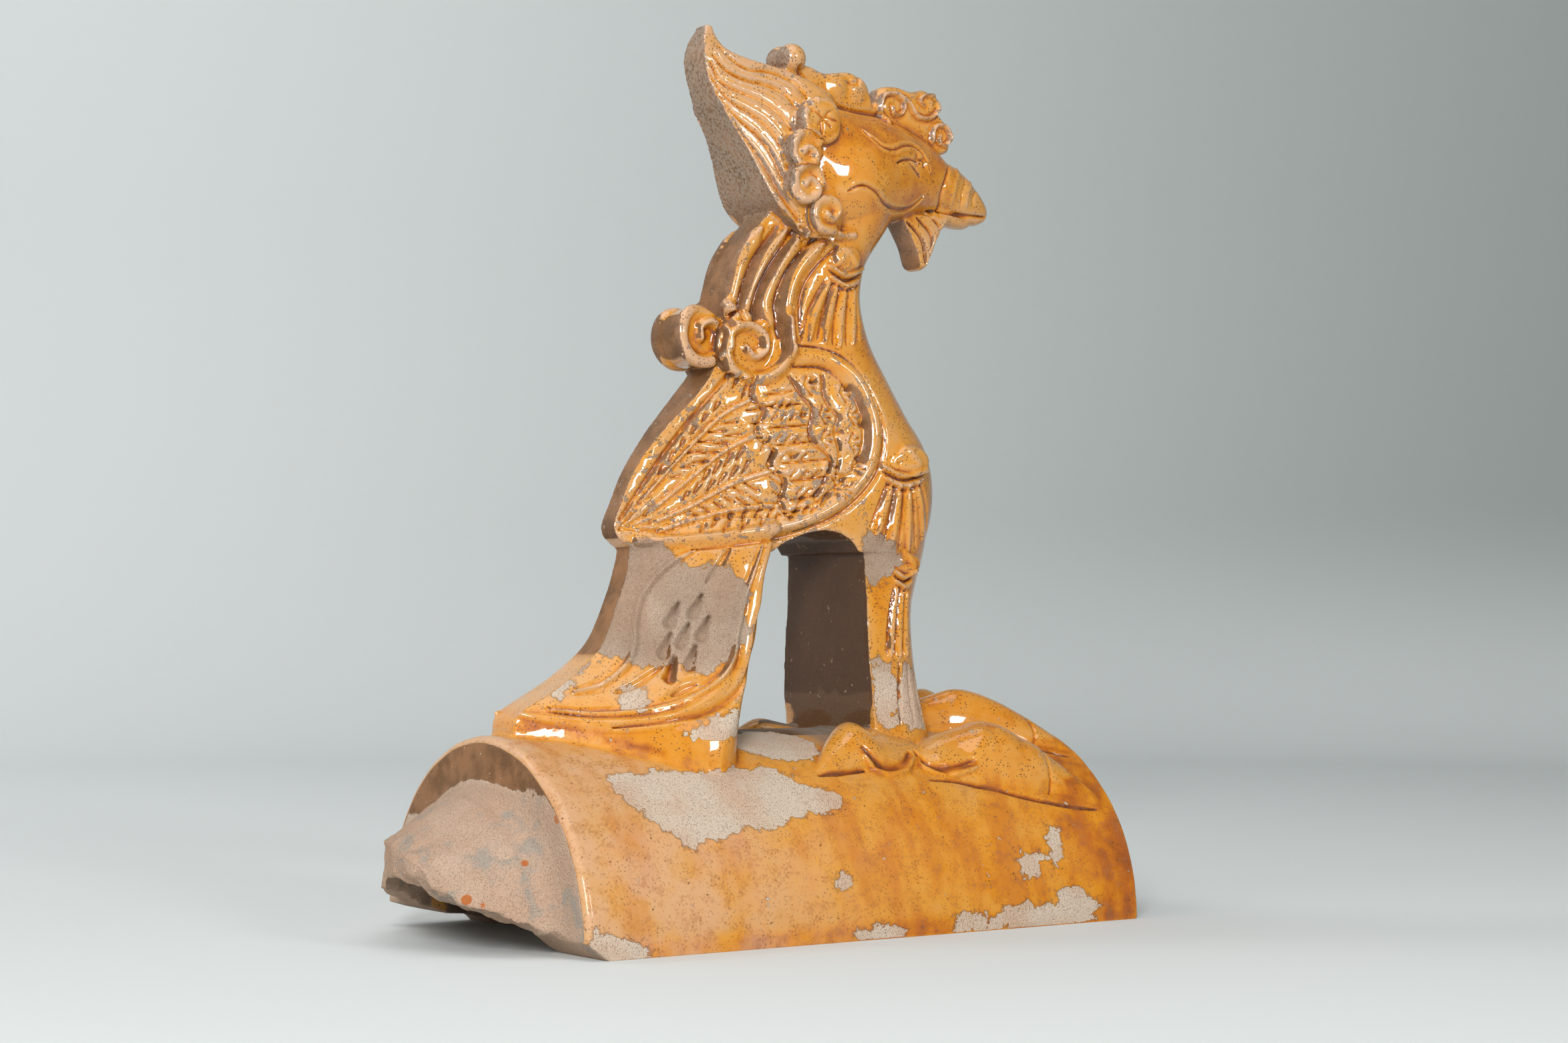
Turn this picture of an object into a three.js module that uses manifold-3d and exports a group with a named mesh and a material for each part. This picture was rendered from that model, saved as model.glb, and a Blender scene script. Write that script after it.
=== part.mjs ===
// Glazed ridge tile with a seated phoenix, moulded, joined and fired as one piece.
// Millimetres, +Z up. The phoenix looks along +X, the tile's tongue points along -X.
// The origin is the middle of the footprint, on the two long edges that the tile lies on.

import * as THREE from 'three';
import { mergeVertices } from 'three/addons/utils/BufferGeometryUtils.js';
import Module from 'manifold-3d';

const wasm = await Module();
wasm.setup();

// Roof tile
const tileLength = 243;
const tileRadius = 72;
const tileWall = 18;
const tileFacets = 56;
const edgeRounding = 3;
const shoulderThickness = 15;
const shoulderFillet = 10;
const tongueLength = 36;
const tongueRootRadius = 51;
const tongueTipRadius = 37;
const tongueEndRounding = 4;
const tongueWall = 14;

// Phoenix. Its points are drawn in millimetres on a bird of the drawn height, measured from the
// tile's shoulder and from the floor, and are read as shares of the bird's real height.
const birdHeight = 262;
const drawnHeight = 262;
const drawnCrown = 72;
const drawnMiddle = 121;
const share = birdHeight / drawnHeight;
const seatRadius = tileRadius / share;

// Archway between the tail and the legs
const legsRearFace = 149;
const archTop = 146;

// Level sections of the standing forms
const flankBulge = 1.3;
const flankSteps = 3;
const noseSteps = 4;

// How far a facet may stand off the drawn form
const faceting = 0.2;

// Relief, as height above the surface that carries it
const rimRise = 2.6;
const quillRise = 1.2;
const scaleRise = 2;
const lockRise = 2.6;
const threadRise = 1.2;
const curlRise = 1.5;

const glaze = new THREE.MeshStandardMaterial({ color: 0xc07a26, roughness: 0.3, metalness: 0 });

const vec = (x, y, z) => new THREE.Vector3(x, y, z);

// A smooth function through [place, value] pairs in rising order of place.
function follow(pairs) {
  return (at) => {
    const last = pairs.length - 1;
    if (at <= pairs[0][0]) return pairs[0][1];
    if (at >= pairs[last][0]) return pairs[last][1];
    const i = pairs.findIndex((pair) => pair[0] > at) - 1;
    const slope = (k) => {
      const before = pairs[Math.max(k - 1, 0)];
      const after = pairs[Math.min(k + 1, last)];
      return (after[1] - before[1]) / (after[0] - before[0]);
    };
    const span = pairs[i + 1][0] - pairs[i][0];
    const t = (at - pairs[i][0]) / span;
    const fall = (1 + 2 * t) * (1 - t) * (1 - t);
    const lead = t * (1 - t) * (1 - t) * span * slope(i);
    const trail = t * t * (t - 1) * span * slope(i + 1);
    return fall * pairs[i][1] + (1 - fall) * pairs[i + 1][1] + lead + trail;
  };
}

const levels = (from, to, count) => {
  return Array.from({ length: count + 1 }, (_, i) => from + (to - from) * i / count);
};

// A closed body through rings that hold the same number of points.
function loft(rings) {
  const count = rings[0].length;
  const positions = rings.flat().flatMap((p) => [p.x, p.y, p.z]);
  const indices = [];
  for (let i = 0; i < rings.length - 1; i += 1) {
    for (let j = 0; j < count; j += 1) {
      const a = i * count + j;
      const b = i * count + (j + 1) % count;
      indices.push(a, b, b + count, a, b + count, a + count);
    }
  }
  const cap = (ring, first, turned) => {
    const middle = ring.reduce((sum, p) => sum.add(p), vec(0, 0, 0)).divideScalar(count);
    const centre = positions.push(middle.x, middle.y, middle.z) / 3 - 1;
    for (let j = 0; j < count; j += 1) {
      const a = first + j;
      const b = first + (j + 1) % count;
      indices.push(...(turned ? [centre, b, a] : [centre, a, b]));
    }
  };
  cap(rings[0], 0, true);
  cap(rings.at(-1), (rings.length - 1) * count, false);
  const geometry = new THREE.BufferGeometry();
  geometry.setAttribute('position', new THREE.Float32BufferAttribute(positions, 3));
  geometry.setIndex(indices);
  return geometry;
}

// Six times the volume that a triangle list encloses, negative when it is inside out.
function signedVolume(positions, triangles) {
  let sum = 0;
  const corner = (i) => vec().fromArray(positions, 3 * triangles[i]);
  for (let i = 0; i < triangles.length; i += 3) {
    sum += corner(i).dot(corner(i + 1).cross(corner(i + 2)));
  }
  return sum;
}

function toSolid(geometry) {
  geometry.deleteAttribute('normal');
  geometry.deleteAttribute('uv');
  const merged = mergeVertices(geometry, 1e-4);
  const vertProperties = Float32Array.from(merged.attributes.position.array);
  const index = Array.from(merged.index.array);
  const triangles = [];
  for (let i = 0; i < index.length; i += 3) {
    const [a, b, c] = index.slice(i, i + 3);
    if (a !== b && b !== c && c !== a) triangles.push(a, b, c);
  }
  if (signedVolume(vertProperties, triangles) < 0) triangles.reverse();
  const triVerts = Uint32Array.from(triangles);
  return new wasm.Manifold(new wasm.Mesh({ numProp: 3, vertProperties, triVerts }));
}

// The same shape on both flanks of the bird.
function onBothSides(geometry) {
  const twin = geometry.clone().scale(1, -1, 1);
  return [toSolid(geometry), toSolid(twin)];
}

const joined = (solids) => solids.reduce((whole, next) => whole.add(next));

// A slab cut to an outline in the side view, as thick as given on each side of the middle.
function sideSlab(outline, half, bevel = 1) {
  const shape = new THREE.Shape(outline.map(([x, z]) => new THREE.Vector2(x, z)));
  const geometry = new THREE.ExtrudeGeometry(shape, {
    depth: 2 * (half - bevel),
    bevelThickness: bevel,
    bevelSize: bevel,
    bevelOffset: -bevel,
    bevelSegments: 1,
    bevelEnabled: bevel > 0,
  });
  return geometry.rotateX(Math.PI / 2).translate(0, half - bevel, 0);
}

// Points of a smooth curve through side-view points.
function smooth(points, count, closed = false) {
  const spline = points.map(([x, z]) => vec(x, 0, z));
  const curve = new THREE.CatmullRomCurve3(spline, closed, 'centripetal');
  return curve.getSpacedPoints(count).map((p) => [p.x, p.z]);
}

// A body whose level sections have a flat narrow back, widening flanks and a rounded front.
function wedge(profile) {
  const edges = Object.fromEntries(Object.entries(profile).map(([k, v]) => [k, follow(v)]));
  const at = (z) => {
    const section = {};
    Object.keys(edges).forEach((k) => { section[k] = edges[k](z); });
    section.noseStart = section.front - section.nose;
    return section;
  };
  const width = (x, z) => {
    const s = at(z);
    if (x > s.noseStart) {
      const ahead = Math.min((x - s.noseStart) / s.nose, 1);
      return s.fullHalf * Math.sqrt(1 - ahead * ahead);
    }
    const u = Math.max((x - s.back) / (s.noseStart - s.back), 0);
    return s.backHalf + (s.fullHalf - s.backHalf) * (1 - (1 - u) ** flankBulge);
  };
  const skin = (x, z, lift) => {
    const slopeX = width(x + 0.5, z) - width(x - 0.5, z);
    const slopeZ = width(x, z + 0.5) - width(x, z - 0.5);
    const outward = vec(-slopeX, -1, -slopeZ).normalize();
    return vec(x, -width(x, z), z).addScaledVector(outward, lift);
  };
  const ring = (z) => {
    const s = at(z);
    const flank = levels(s.back, s.noseStart, flankSteps).slice(0, -1).map((x) => [x, width(x, z)]);
    const nose = levels(0, Math.PI / 2, noseSteps).map((a) => {
      return [s.noseStart + s.nose * Math.sin(a), s.fullHalf * Math.cos(a)];
    });
    const half = [...flank, ...nose];
    const far = half.slice(0, -1).reverse();
    return [...half.map(([x, y]) => vec(x, -y, z)), ...far.map(([x, y]) => vec(x, y, z))];
  };
  return { skin, loft: (heights) => loft(heights.map(ring)) };
}

// A tapering ridge along points on the near flank: a sharp crest, or a flat one where it is broad.
function strand(points, halfAt, rise, broad = false, buried = 2) {
  const last = points.length - 1;
  const rings = points.map((point, i) => {
    const ahead = points[Math.min(i + 1, last)];
    const behind = points[Math.max(i - 1, 0)];
    const along = ahead.clone().sub(behind).normalize();
    const across = along.clone().cross(vec(0, -1, 0)).normalize();
    const out = across.clone().cross(along).normalize();
    const half = halfAt(i / last);
    const crest = broad ? [[0.55 * half, rise], [-0.55 * half, rise]] : [[0, rise]];
    return [[half, -buried], ...crest, [-half, -buried]].map(([aside, up]) => {
      return point.clone().addScaledVector(across, aside).addScaledVector(out, up);
    });
  });
  return loft(rings);
}

// Side-view points of a scroll that winds in towards its centre.
function scroll([x, z], outer, inner, fromAngle, turns, count) {
  return levels(0, 1, count).map((t) => {
    const radius = outer + (inner - outer) * t;
    const angle = fromAngle + 2 * Math.PI * turns * t;
    return [x + radius * Math.cos(angle), z + radius * Math.sin(angle)];
  });
}

// A low boss on the near flank, wide and tall in the side view and raised towards the viewer.
function boss(centre, wide, rise, tall = wide, sides = 8) {
  const buried = 2.5;
  const profile = [[0, buried], [1, buried], [0.78, -0.6 * rise], [0, -rise]];
  const points = profile.map(([radius, height]) => new THREE.Vector2(radius, height));
  const geometry = new THREE.LatheGeometry(points, sides).scale(wide, 1, tall);
  return geometry.translate(centre.x, centre.y, centre.z);
}

// Drops the corners that a faceted form can do without. A corner moves onto a neighbour when that
// neighbour lies within the slack of every plane that met in the corner, and no face turns over.
function thinned(solid, slack, passes = 6) {
  const mesh = solid.getMesh();
  const corners = [];
  for (let i = 0; i < mesh.vertProperties.length; i += 3) {
    corners.push(vec().fromArray(mesh.vertProperties, i));
  }
  const faces = new Set();
  const facesAt = corners.map(() => new Set());
  for (let i = 0; i < mesh.triVerts.length; i += 3) {
    const face = Array.from(mesh.triVerts.slice(i, i + 3));
    faces.add(face);
    face.forEach((corner) => facesAt[corner].add(face));
  }
  const crossOf = ([a, b, c]) => {
    return corners[b].clone().sub(corners[a]).cross(corners[c].clone().sub(corners[a]));
  };
  const leastCross = 1e-3;
  const planesAt = facesAt.map((own) => {
    return [...own].map(crossOf).filter((cross) => cross.length() > leastCross);
  }).map((crosses, i) => crosses.map((cross) => {
    return new THREE.Plane().setFromNormalAndCoplanarPoint(cross.normalize(), corners[i]);
  }));
  const neighbours = (corner) => new Set([...facesAt[corner]].flat().filter((other) => other !== corner));

  const canDrop = (corner, onto) => {
    const off = (plane) => Math.abs(plane.distanceToPoint(corners[onto]));
    if (planesAt[corner].some((plane) => off(plane) > slack)) return false;
    const near = neighbours(onto);
    if ([...neighbours(corner)].filter((other) => near.has(other)).length !== 2) return false;
    return [...facesAt[corner]].filter((face) => !face.includes(onto)).every((face) => {
      const before = crossOf(face);
      const after = crossOf(face.map((other) => (other === corner ? onto : other)));
      const turn = before.dot(after) / (before.length() * after.length());
      const longest = Math.max(...face.map((other) => corners[other].distanceTo(corners[onto])));
      return after.length() > 0.06 * longest && turn > 0.7;
    });
  };

  const drop = (corner, onto) => {
    for (const face of [...facesAt[corner]]) {
      if (face.includes(onto)) {
        face.forEach((other) => facesAt[other].delete(face));
        faces.delete(face);
      } else {
        face[face.indexOf(corner)] = onto;
        facesAt[onto].add(face);
      }
    }
    facesAt[corner].clear();
    planesAt[onto].push(...planesAt[corner]);
  };

  for (let pass = 0; pass < passes; pass += 1) {
    const edges = [...faces].flatMap(([a, b, c]) => [[a, b], [b, c], [c, a]]);
    const span = ([a, b]) => corners[a].distanceToSquared(corners[b]);
    edges.sort((one, other) => span(one) - span(other));
    for (const [corner, onto] of edges) {
      const meet = [...facesAt[corner]].some((face) => face.includes(onto));
      if (meet && canDrop(corner, onto)) drop(corner, onto);
    }
  }

  const kept = corners.map((_, i) => i).filter((i) => facesAt[i].size > 0);
  const numberOf = new Map(kept.map((corner, i) => [corner, i]));
  return new wasm.Manifold(new wasm.Mesh({
    numProp: 3,
    vertProperties: Float32Array.from(kept.flatMap((i) => corners[i].toArray())),
    triVerts: Uint32Array.from([...faces].flat().map((corner) => numberOf.get(corner))),
  }));
}

// Radius against length for the solid tile and its tongue, with its rounded back rim and the
// hollowed shoulder where the tongue begins.
function tileOutline() {
  const back = edgeRounding;
  const outline = [[0, tileLength], [tileRadius - 1, tileLength], [tileRadius, tileLength - 1]];
  for (const a of levels(0, Math.PI / 2, 2)) {
    const across = tileRadius - back + back * Math.cos(a);
    outline.push([across, back - back * Math.sin(a)]);
  }
  for (const a of levels(0, Math.PI / 2, 3)) {
    const across = tongueRootRadius + shoulderFillet - shoulderFillet * Math.sin(a);
    outline.push([across, -shoulderFillet + shoulderFillet * Math.cos(a)]);
  }
  for (const a of levels(0, Math.PI / 2, 2)) {
    const across = tongueTipRadius - tongueEndRounding + tongueEndRounding * Math.cos(a);
    outline.push([across, -tongueLength + tongueEndRounding - tongueEndRounding * Math.sin(a)]);
  }
  outline.push([0, -tongueLength]);
  return outline;
}

const turned = (outline) => {
  const points = outline.map(([radius, along]) => new THREE.Vector2(radius, along));
  return toSolid(new THREE.LatheGeometry(points, tileFacets).rotateZ(-Math.PI / 2));
};

const block = (low, high) => {
  const size = high.clone().sub(low);
  const middle = low.clone().add(high).divideScalar(2);
  return toSolid(new THREE.BoxGeometry(size.x, size.y, size.z).translate(...middle.toArray()));
};

// The hollow that runs right through the tile and its tongue.
function channel() {
  const bore = tileRadius - tileWall;
  const neck = tongueRootRadius - tongueWall;
  const tip = tongueTipRadius - tongueWall;
  const past = 5;
  return turned([
    [0, tileLength + past], [bore, tileLength + past], [bore, shoulderThickness + tileWall / 2],
    [neck, shoulderThickness - tileWall / 2], [neck, 0], [tip, -tongueLength],
    [tip - 1, -tongueLength - past], [0, -tongueLength - past],
  ]);
}

// The tongue is broken away along its near side and ragged at its end, and the tile's far long edge
// is worn away next to it.
function tongueBreaks() {
  const past = tileRadius + 10;
  const end = -tongueLength;
  const away = end - 9;
  const cut = (outline, fromY, toY) => {
    const geometry = sideSlab(outline, (toY - fromY) / 2, 0);
    return toSolid(geometry.translate(0, (fromY + toY) / 2, 0));
  };
  const nearEdge = [
    [9, -1], [-1, 7], [-9, 11], [-18, 15], [-27, 18], [end + 3, 23], [end, 27], [away, 28], [away, -1],
  ];
  const farEdge = [
    [36, -1], [32, 2.5], [22, 4.5], [8, 6.5], [0, 9], [-10, 13], [-17, 17], [end, 19], [away, 19],
    [away, -1],
  ];
  const endPlan = [
    [end + 2, -60], [end + 1.5, -26], [end, -14], [end + 1, 0], [end + 4, 10], [end + 10, 22],
    [end + 17, 34], [end + 24, 60], [away, 60], [away, -60],
  ];
  const endShape = new THREE.Shape(endPlan.map(([x, y]) => new THREE.Vector2(x, y)));
  const endFace = new THREE.ExtrudeGeometry(endShape, { depth: past, bevelEnabled: false });
  return joined([
    cut(nearEdge, -past, 2),
    cut(farEdge, 2, past),
    toSolid(endFace.translate(0, 0, -1)),
  ]);
}

// A corner knocked off the front end of the tile.
function tileChips() {
  const chip = (x, y, z, radius) => {
    return toSolid(new THREE.IcosahedronGeometry(radius, 1).rotateX(0.5).translate(x, y, z));
  };
  return joined([
    chip(tileLength + 2, -tileRadius - 1, -1, 7),
    chip(tileLength + 4, -tileRadius * 0.92, 24, 6),
  ]);
}

// Breast, back and neck
const body = wedge({
  back: [
    [138, 59], [142, 53], [146, 51], [154, 54], [168, 60.5], [183, 72], [193, 82], [204, 91],
    [214, 96], [233, 97.5], [244, 100.5], [254, 107], [262, 114], [270, 121],
  ],
  front: [
    [138, 188], [148, 191.5], [158, 193.5], [168, 193.5], [179, 190], [192, 181], [204, 174],
    [218, 166.5], [230, 163], [240, 162.5], [250, 165], [262, 173], [270, 178],
  ],
  backHalf: [[138, 6], [146, 4.5], [168, 4.5], [183, 6.5], [195, 9], [212, 8], [250, 7.5], [270, 8]],
  fullHalf: [
    [138, 27], [150, 28], [168, 28], [182, 27], [195, 24.5], [208, 21], [222, 17.5], [236, 15.5],
    [250, 16], [270, 18],
  ],
  nose: [[138, 28], [180, 30], [205, 26], [230, 20], [270, 18]],
});

// Slab of the two front legs, flat behind
const legs = wedge({
  back: [[50, legsRearFace + 4], [72, legsRearFace + 2], [90, legsRearFace], [160, legsRearFace]],
  front: [
    [50, 190], [70, 188], [80, 185.5], [90, 183], [106, 181.5], [118, 182], [128, 185], [140, 189],
    [160, 193],
  ],
  backHalf: [[50, 29], [84, 28.5], [108, 26.5], [131, 25], [160, 24]],
  fullHalf: [[50, 31], [84, 29.5], [108, 27.5], [131, 27], [160, 27]],
  nose: [[50, 24], [106, 22], [160, 28]],
});

// Tail that stands behind the archway and spreads over the tile
const tail = wedge({
  back: [
    [46, 11], [70, 8.5], [78, 9], [82, 14], [89, 27], [96, 37], [103, 45], [111, 49.5],
    [120, 53], [130, 56.5], [150, 60],
  ],
  front: [
    [46, 93], [66, 92], [80, 92.5], [92, 96.5], [104, 100.5], [118, 104], [130, 106.5], [140, 111],
    [150, 116],
  ],
  backHalf: [[46, 11], [74, 8], [86, 8.5], [96, 7.5], [112, 6], [150, 6]],
  fullHalf: [
    [46, 44], [64, 43], [73, 41.5], [79, 38], [84, 34.5], [92, 31.5], [104, 29], [120, 27], [150, 26],
  ],
  nose: [[46, 22], [70, 18], [84, 8], [110, 5], [150, 5]],
});

// Swept-back crest feathers behind the head
const plume = wedge({
  back: [
    [256, 128], [262, 121.5], [270, 113.5], [284, 106], [293, 101.2], [303, 94.8], [312, 90.4],
    [318, 89.4], [323, 89.7], [328, 90.7], [333, 93],
  ],
  front: [
    [256, 150], [312, 150], [317, 140], [320, 128], [322, 113], [325, 102], [329, 97.5], [333, 96],
  ],
  backHalf: [[256, 17], [266, 16.5], [284, 13.3], [303, 9.6], [312, 7.4], [322, 6.5], [328, 4.3], [333, 3]],
  fullHalf: [[256, 19], [281, 19], [300, 16.5], [312, 12.5], [320, 9.5], [326, 6], [333, 3.2]],
  nose: [[256, 12], [312, 12], [322, 6], [333, 1.6]],
});

// Head and beak, as sections along the way it looks
const head = {
  top: follow([
    [128, 302], [136, 307.5], [146, 309.5], [158, 308.5], [170, 308], [182, 305.5], [192, 302], [200, 297.5],
    [206, 293],
  ]),
  bottom: follow([
    [128, 268], [136, 259.5], [146, 256], [158, 257.5], [168, 261.5], [178, 267], [190, 271.5], [206, 274.5],
  ]),
  half: follow([
    [128, 17], [136, 19.5], [148, 21], [160, 20.5], [172, 18.5], [184, 15], [196, 11.5], [206, 9],
  ]),
};

const beak = {
  top: follow([[198, 294], [206, 294], [214, 291], [221, 286.8], [226, 283], [228, 280.5]]),
  bottom: follow([[198, 276], [206, 274.5], [214, 273], [221, 273.5], [226, 276.5], [228, 279]]),
  half: follow([[198, 9], [206, 8.4], [214, 7.2], [221, 5], [226, 2.8], [228, 0.8]]),
};

const mandible = {
  top: follow([[198, 278], [221, 276]]),
  bottom: follow([[198, 272], [208, 270.5], [216, 270.8], [221, 274]]),
  half: follow([[198, 5.5], [208, 5.5], [216, 4], [221, 1.2]]),
};

function eggRing(form, x, sides) {
  const middle = (form.top(x) + form.bottom(x)) / 2;
  const tall = (form.top(x) - form.bottom(x)) / 2;
  return levels(0, 2 * Math.PI, sides).slice(0, -1).map((a) => {
    const bulge = (value) => Math.sign(value) * Math.abs(value) ** 0.9;
    return vec(x, form.half(x) * bulge(Math.sin(a)), middle + tall * bulge(Math.cos(a)));
  });
}

const eggLoft = (form, places, sides) => loft(places.map((x) => eggRing(form, x, sides)));

function onHead(x, z, lift) {
  const middle = (head.top(x) + head.bottom(x)) / 2;
  const tall = (head.top(x) - head.bottom(x)) / 2;
  const up = THREE.MathUtils.clamp((z - middle) / tall, -1, 1);
  const half = head.half(x) * Math.sqrt(1 - Math.abs(up) ** 2.2);
  return vec(x, -half - lift, z);
}

// Wing: a rounded rim, five long feathers from the wing's tip and rows of small scales
const wingTip = [53, 146];
const rimPath = [
  [55, 144], [66, 141.5], [84, 142.5], [103, 145.5], [117, 148.5], [128, 152.5], [140, 160],
  [149, 168], [153, 178], [152, 189], [147, 199], [138, 207], [124, 211],
];
const backRimPath = [[55, 150], [60, 165], [68, 177], [78, 189], [91, 200]];
const featherEnds = [[96, 199], [103, 191], [104.5, 179], [109, 165.5], [112, 154.5]];
const scaleColumns = [
  { x: 110.5, z: 200, count: 5, stepX: 2, stepZ: -10.8, wide: 6.9, tall: 5.3 },
  { x: 125, z: 203, count: 5, stepX: 1, stepZ: -10.8, wide: 6.6, tall: 5.3 },
  { x: 138, z: 198, count: 4, stepX: 0.8, stepZ: -10.4, wide: 5.6, tall: 5 },
];

function wing() {
  const rim = smooth(rimPath, 18).map(([x, z]) => body.skin(x, z, 0));
  const backRim = smooth(backRimPath, 4).map(([x, z]) => body.skin(x, z, 0));
  const parts = [
    strand(rim, (t) => 3 + 1.4 * Math.sin(Math.PI * t), rimRise, true),
    strand(backRim, () => 2.6, quillRise),
  ];
  for (const end of featherEnds) {
    const quill = smooth([wingTip, end], 3).map(([x, z]) => body.skin(x, z, 0));
    parts.push(strand(quill, (t) => 2 + 0.8 * t, quillRise));
  }
  for (const column of scaleColumns) {
    for (let i = 0; i < column.count; i += 1) {
      const x = column.x + i * column.stepX;
      const z = column.z + i * column.stepZ;
      parts.push(boss(body.skin(x, z, 0), column.wide, scaleRise, column.tall, 6));
    }
  }
  return parts;
}

// Two long locks down each side of the neck, each ending in a scroll
const rearScroll = { centre: [88, 217], outer: 8, half: 8 };
const frontScroll = { centre: [103.5, 213], outer: 8.6 };

function neckLocks() {
  const rear = smooth([[121, 263], [111.5, 252], [105, 241], [102, 230], [99, 221]], 6);
  const rearCurl = scroll(rearScroll.centre, rearScroll.outer, 1.5, 0.4, -1.5, 12);
  const front = smooth([[136, 260], [126, 249], [118.5, 238], [116, 227], [116, 217]], 6);
  const frontCurl = scroll(frontScroll.centre, frontScroll.outer + 2.6, 1.5, 0.2, -1.6, 14);
  const lift = (points, height) => points.map(([x, z]) => body.skin(x, z, height));
  const onRoll = rearCurl.map(([x, z]) => vec(x, -rearScroll.half, z));
  return [
    strand(lift(rear, 0), () => 6.8, lockRise, true),
    strand(onRoll, (t) => 3.4 - 1.2 * t, curlRise + 0.6, false, 1.5),
    strand(lift(front, 0), (t) => 8.2 - 1.5 * t, lockRise, true),
    strand(lift(frontCurl, 2), (t) => 3.6 - 1.4 * t, curlRise + 1),
    boss(body.skin(...frontScroll.centre, 0), 11.5, 3.5, 11, 10),
  ];
}

function rearRoll() {
  const round = levels(0, 2 * Math.PI, 16).slice(0, -1).map((a) => {
    const radius = rearScroll.outer + 3;
    return [rearScroll.centre[0] + radius * Math.cos(a), rearScroll.centre[1] + radius * Math.sin(a)];
  });
  return sideSlab(round, rearScroll.half, 1.5);
}

// Curls along the cheek, from the temple to the jaw
const cheekCurls = [
  { at: [130.5, 300.5], radius: 8.5 },
  { at: [126.5, 288.5], radius: 7.5 },
  { at: [127.5, 276.5], radius: 7.5 },
  { at: [134.5, 264.5], radius: 6.5 },
];

function cheek() {
  const parts = [];
  for (const curl of cheekCurls) {
    const spot = vec(curl.at[0], -19.5, curl.at[1]);
    parts.push(boss(spot, curl.radius, 3));
    const winding = scroll(curl.at, curl.radius - 2, 1, 1.2, -1.1, 8);
    parts.push(strand(winding.map(([x, z]) => vec(x, -21.5, z)), () => 1.8, curlRise));
  }
  const jaw = smooth([[136, 260.5], [144, 257.5], [153, 257.5], [160, 260]], 4);
  parts.push(strand(jaw.map(([x, z]) => vec(x, -15, z)), (t) => 5 - 2.6 * t, 3.4, true));
  const brow = smooth([[155, 299], [162, 296.5], [170, 296], [179, 298], [187, 294], [190.5, 288]], 8);
  parts.push(strand(brow.map(([x, z]) => onHead(x, z, 0)), () => 1.8, 0.9));
  return parts;
}

// Lines sunk into the cheek: the eye and the smiling line of the mouth
function faceLines() {
  const eye = smooth([[169, 288.5], [176, 290.5], [181, 288.5], [184.5, 285]], 4);
  const mouth = smooth([
    [149, 276], [154, 277.5], [160, 275.5], [167, 272.5], [175, 271.5], [182, 274], [187, 277],
  ], 6);
  const sunk = (points, half) => strand(points.map(([x, z]) => onHead(x, z, 0)), () => half, 2, true, 0.8);
  return [sunk(eye, 0.9), sunk(mouth, 1.1)];
}

// Thin comb, lobe and knob that stand on the middle of the head
function crest() {
  const ridge = smooth([
    [118, 316], [124, 321], [136, 324.5], [145, 322.5], [150, 322.8], [159, 324], [166, 320],
    [169, 311], [168, 302], [120, 302],
  ], 18, true).slice(0, -1);
  const comb = smooth([
    [168, 303], [169, 313], [173, 319.5], [180, 321], [188, 320], [196, 321.5], [201, 317.5], [203, 311],
    [207, 308.5], [208, 303], [205, 297], [190, 296],
  ], 20, true).slice(0, -1);
  const onComb = (points) => points.map(([x, z]) => vec(x, -5, z));
  const leftCurl = scroll([179, 313.5], 5.8, 0.8, 0.3, 1.4, 10);
  const rightCurl = scroll([195, 315.5], 5, 0.8, 3.4, -1.3, 9);
  const lowCurl = scroll([202.5, 303], 4, 0.8, 1.5, 1.2, 8);
  return {
    middle: [sideSlab(ridge, 5, 1.5), sideSlab(comb, 5, 1.2)],
    sides: [
      new THREE.SphereGeometry(1, 10, 6).scale(6.4, 5.5, 6.4).translate(130.5, -3.5, 326),
      ...[leftCurl, rightCurl, lowCurl].map((curl) => strand(onComb(curl), () => 1.6, curlRise)),
    ],
  };
}

// Wattle that hangs under the beak
function wattle() {
  const outline = [
    [180, 272], [184, 265], [187.5, 258], [190.5, 251], [194.5, 250.5], [199, 254.5], [203, 262],
    [207, 272],
  ];
  const fold = (from, to) => {
    return strand(smooth([from, to], 2).map(([x, z]) => vec(x, -6, z)), (t) => 2.2 - t, threadRise);
  };
  return {
    middle: [sideSlab(outline, 6, 1)],
    sides: [fold([190, 269], [192.5, 253]), fold([196, 270], [195.5, 254]), fold([202, 270], [199, 257])],
  };
}

// A tassel: a small bell over a fan of threads that leans back as it drops
function tassel(skin, [x, z], bell, drop, spread, lean) {
  const parts = [boss(skin(x, z, 0), bell, bell * 0.45, bell * 0.75)];
  const brimEnd = 1.1 * bell;
  const brimPoints = [[x - brimEnd, z - bell * 0.5], [x, z - bell * 0.8], [x + brimEnd, z - bell * 0.5]];
  const brim = smooth(brimPoints, 4).map(([bx, bz]) => skin(bx, bz, 0.2));
  parts.push(strand(brim, () => bell * 0.32, bell * 0.25));
  for (const side of [-1, -0.33, 0.33, 1]) {
    const top = [x + side * bell * 0.7, z - bell];
    const thread = smooth([top, [x - lean + side * spread, z - drop]], 2);
    parts.push(strand(thread.map(([tx, tz]) => skin(tx, tz, 0)), () => bell * 0.26, threadRise));
  }
  return parts;
}

// Height of the tile's surface at a distance from its middle line
const tileSurface = (y) => drawnCrown - seatRadius + Math.sqrt(Math.max(seatRadius ** 2 - y ** 2, 0));

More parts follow.
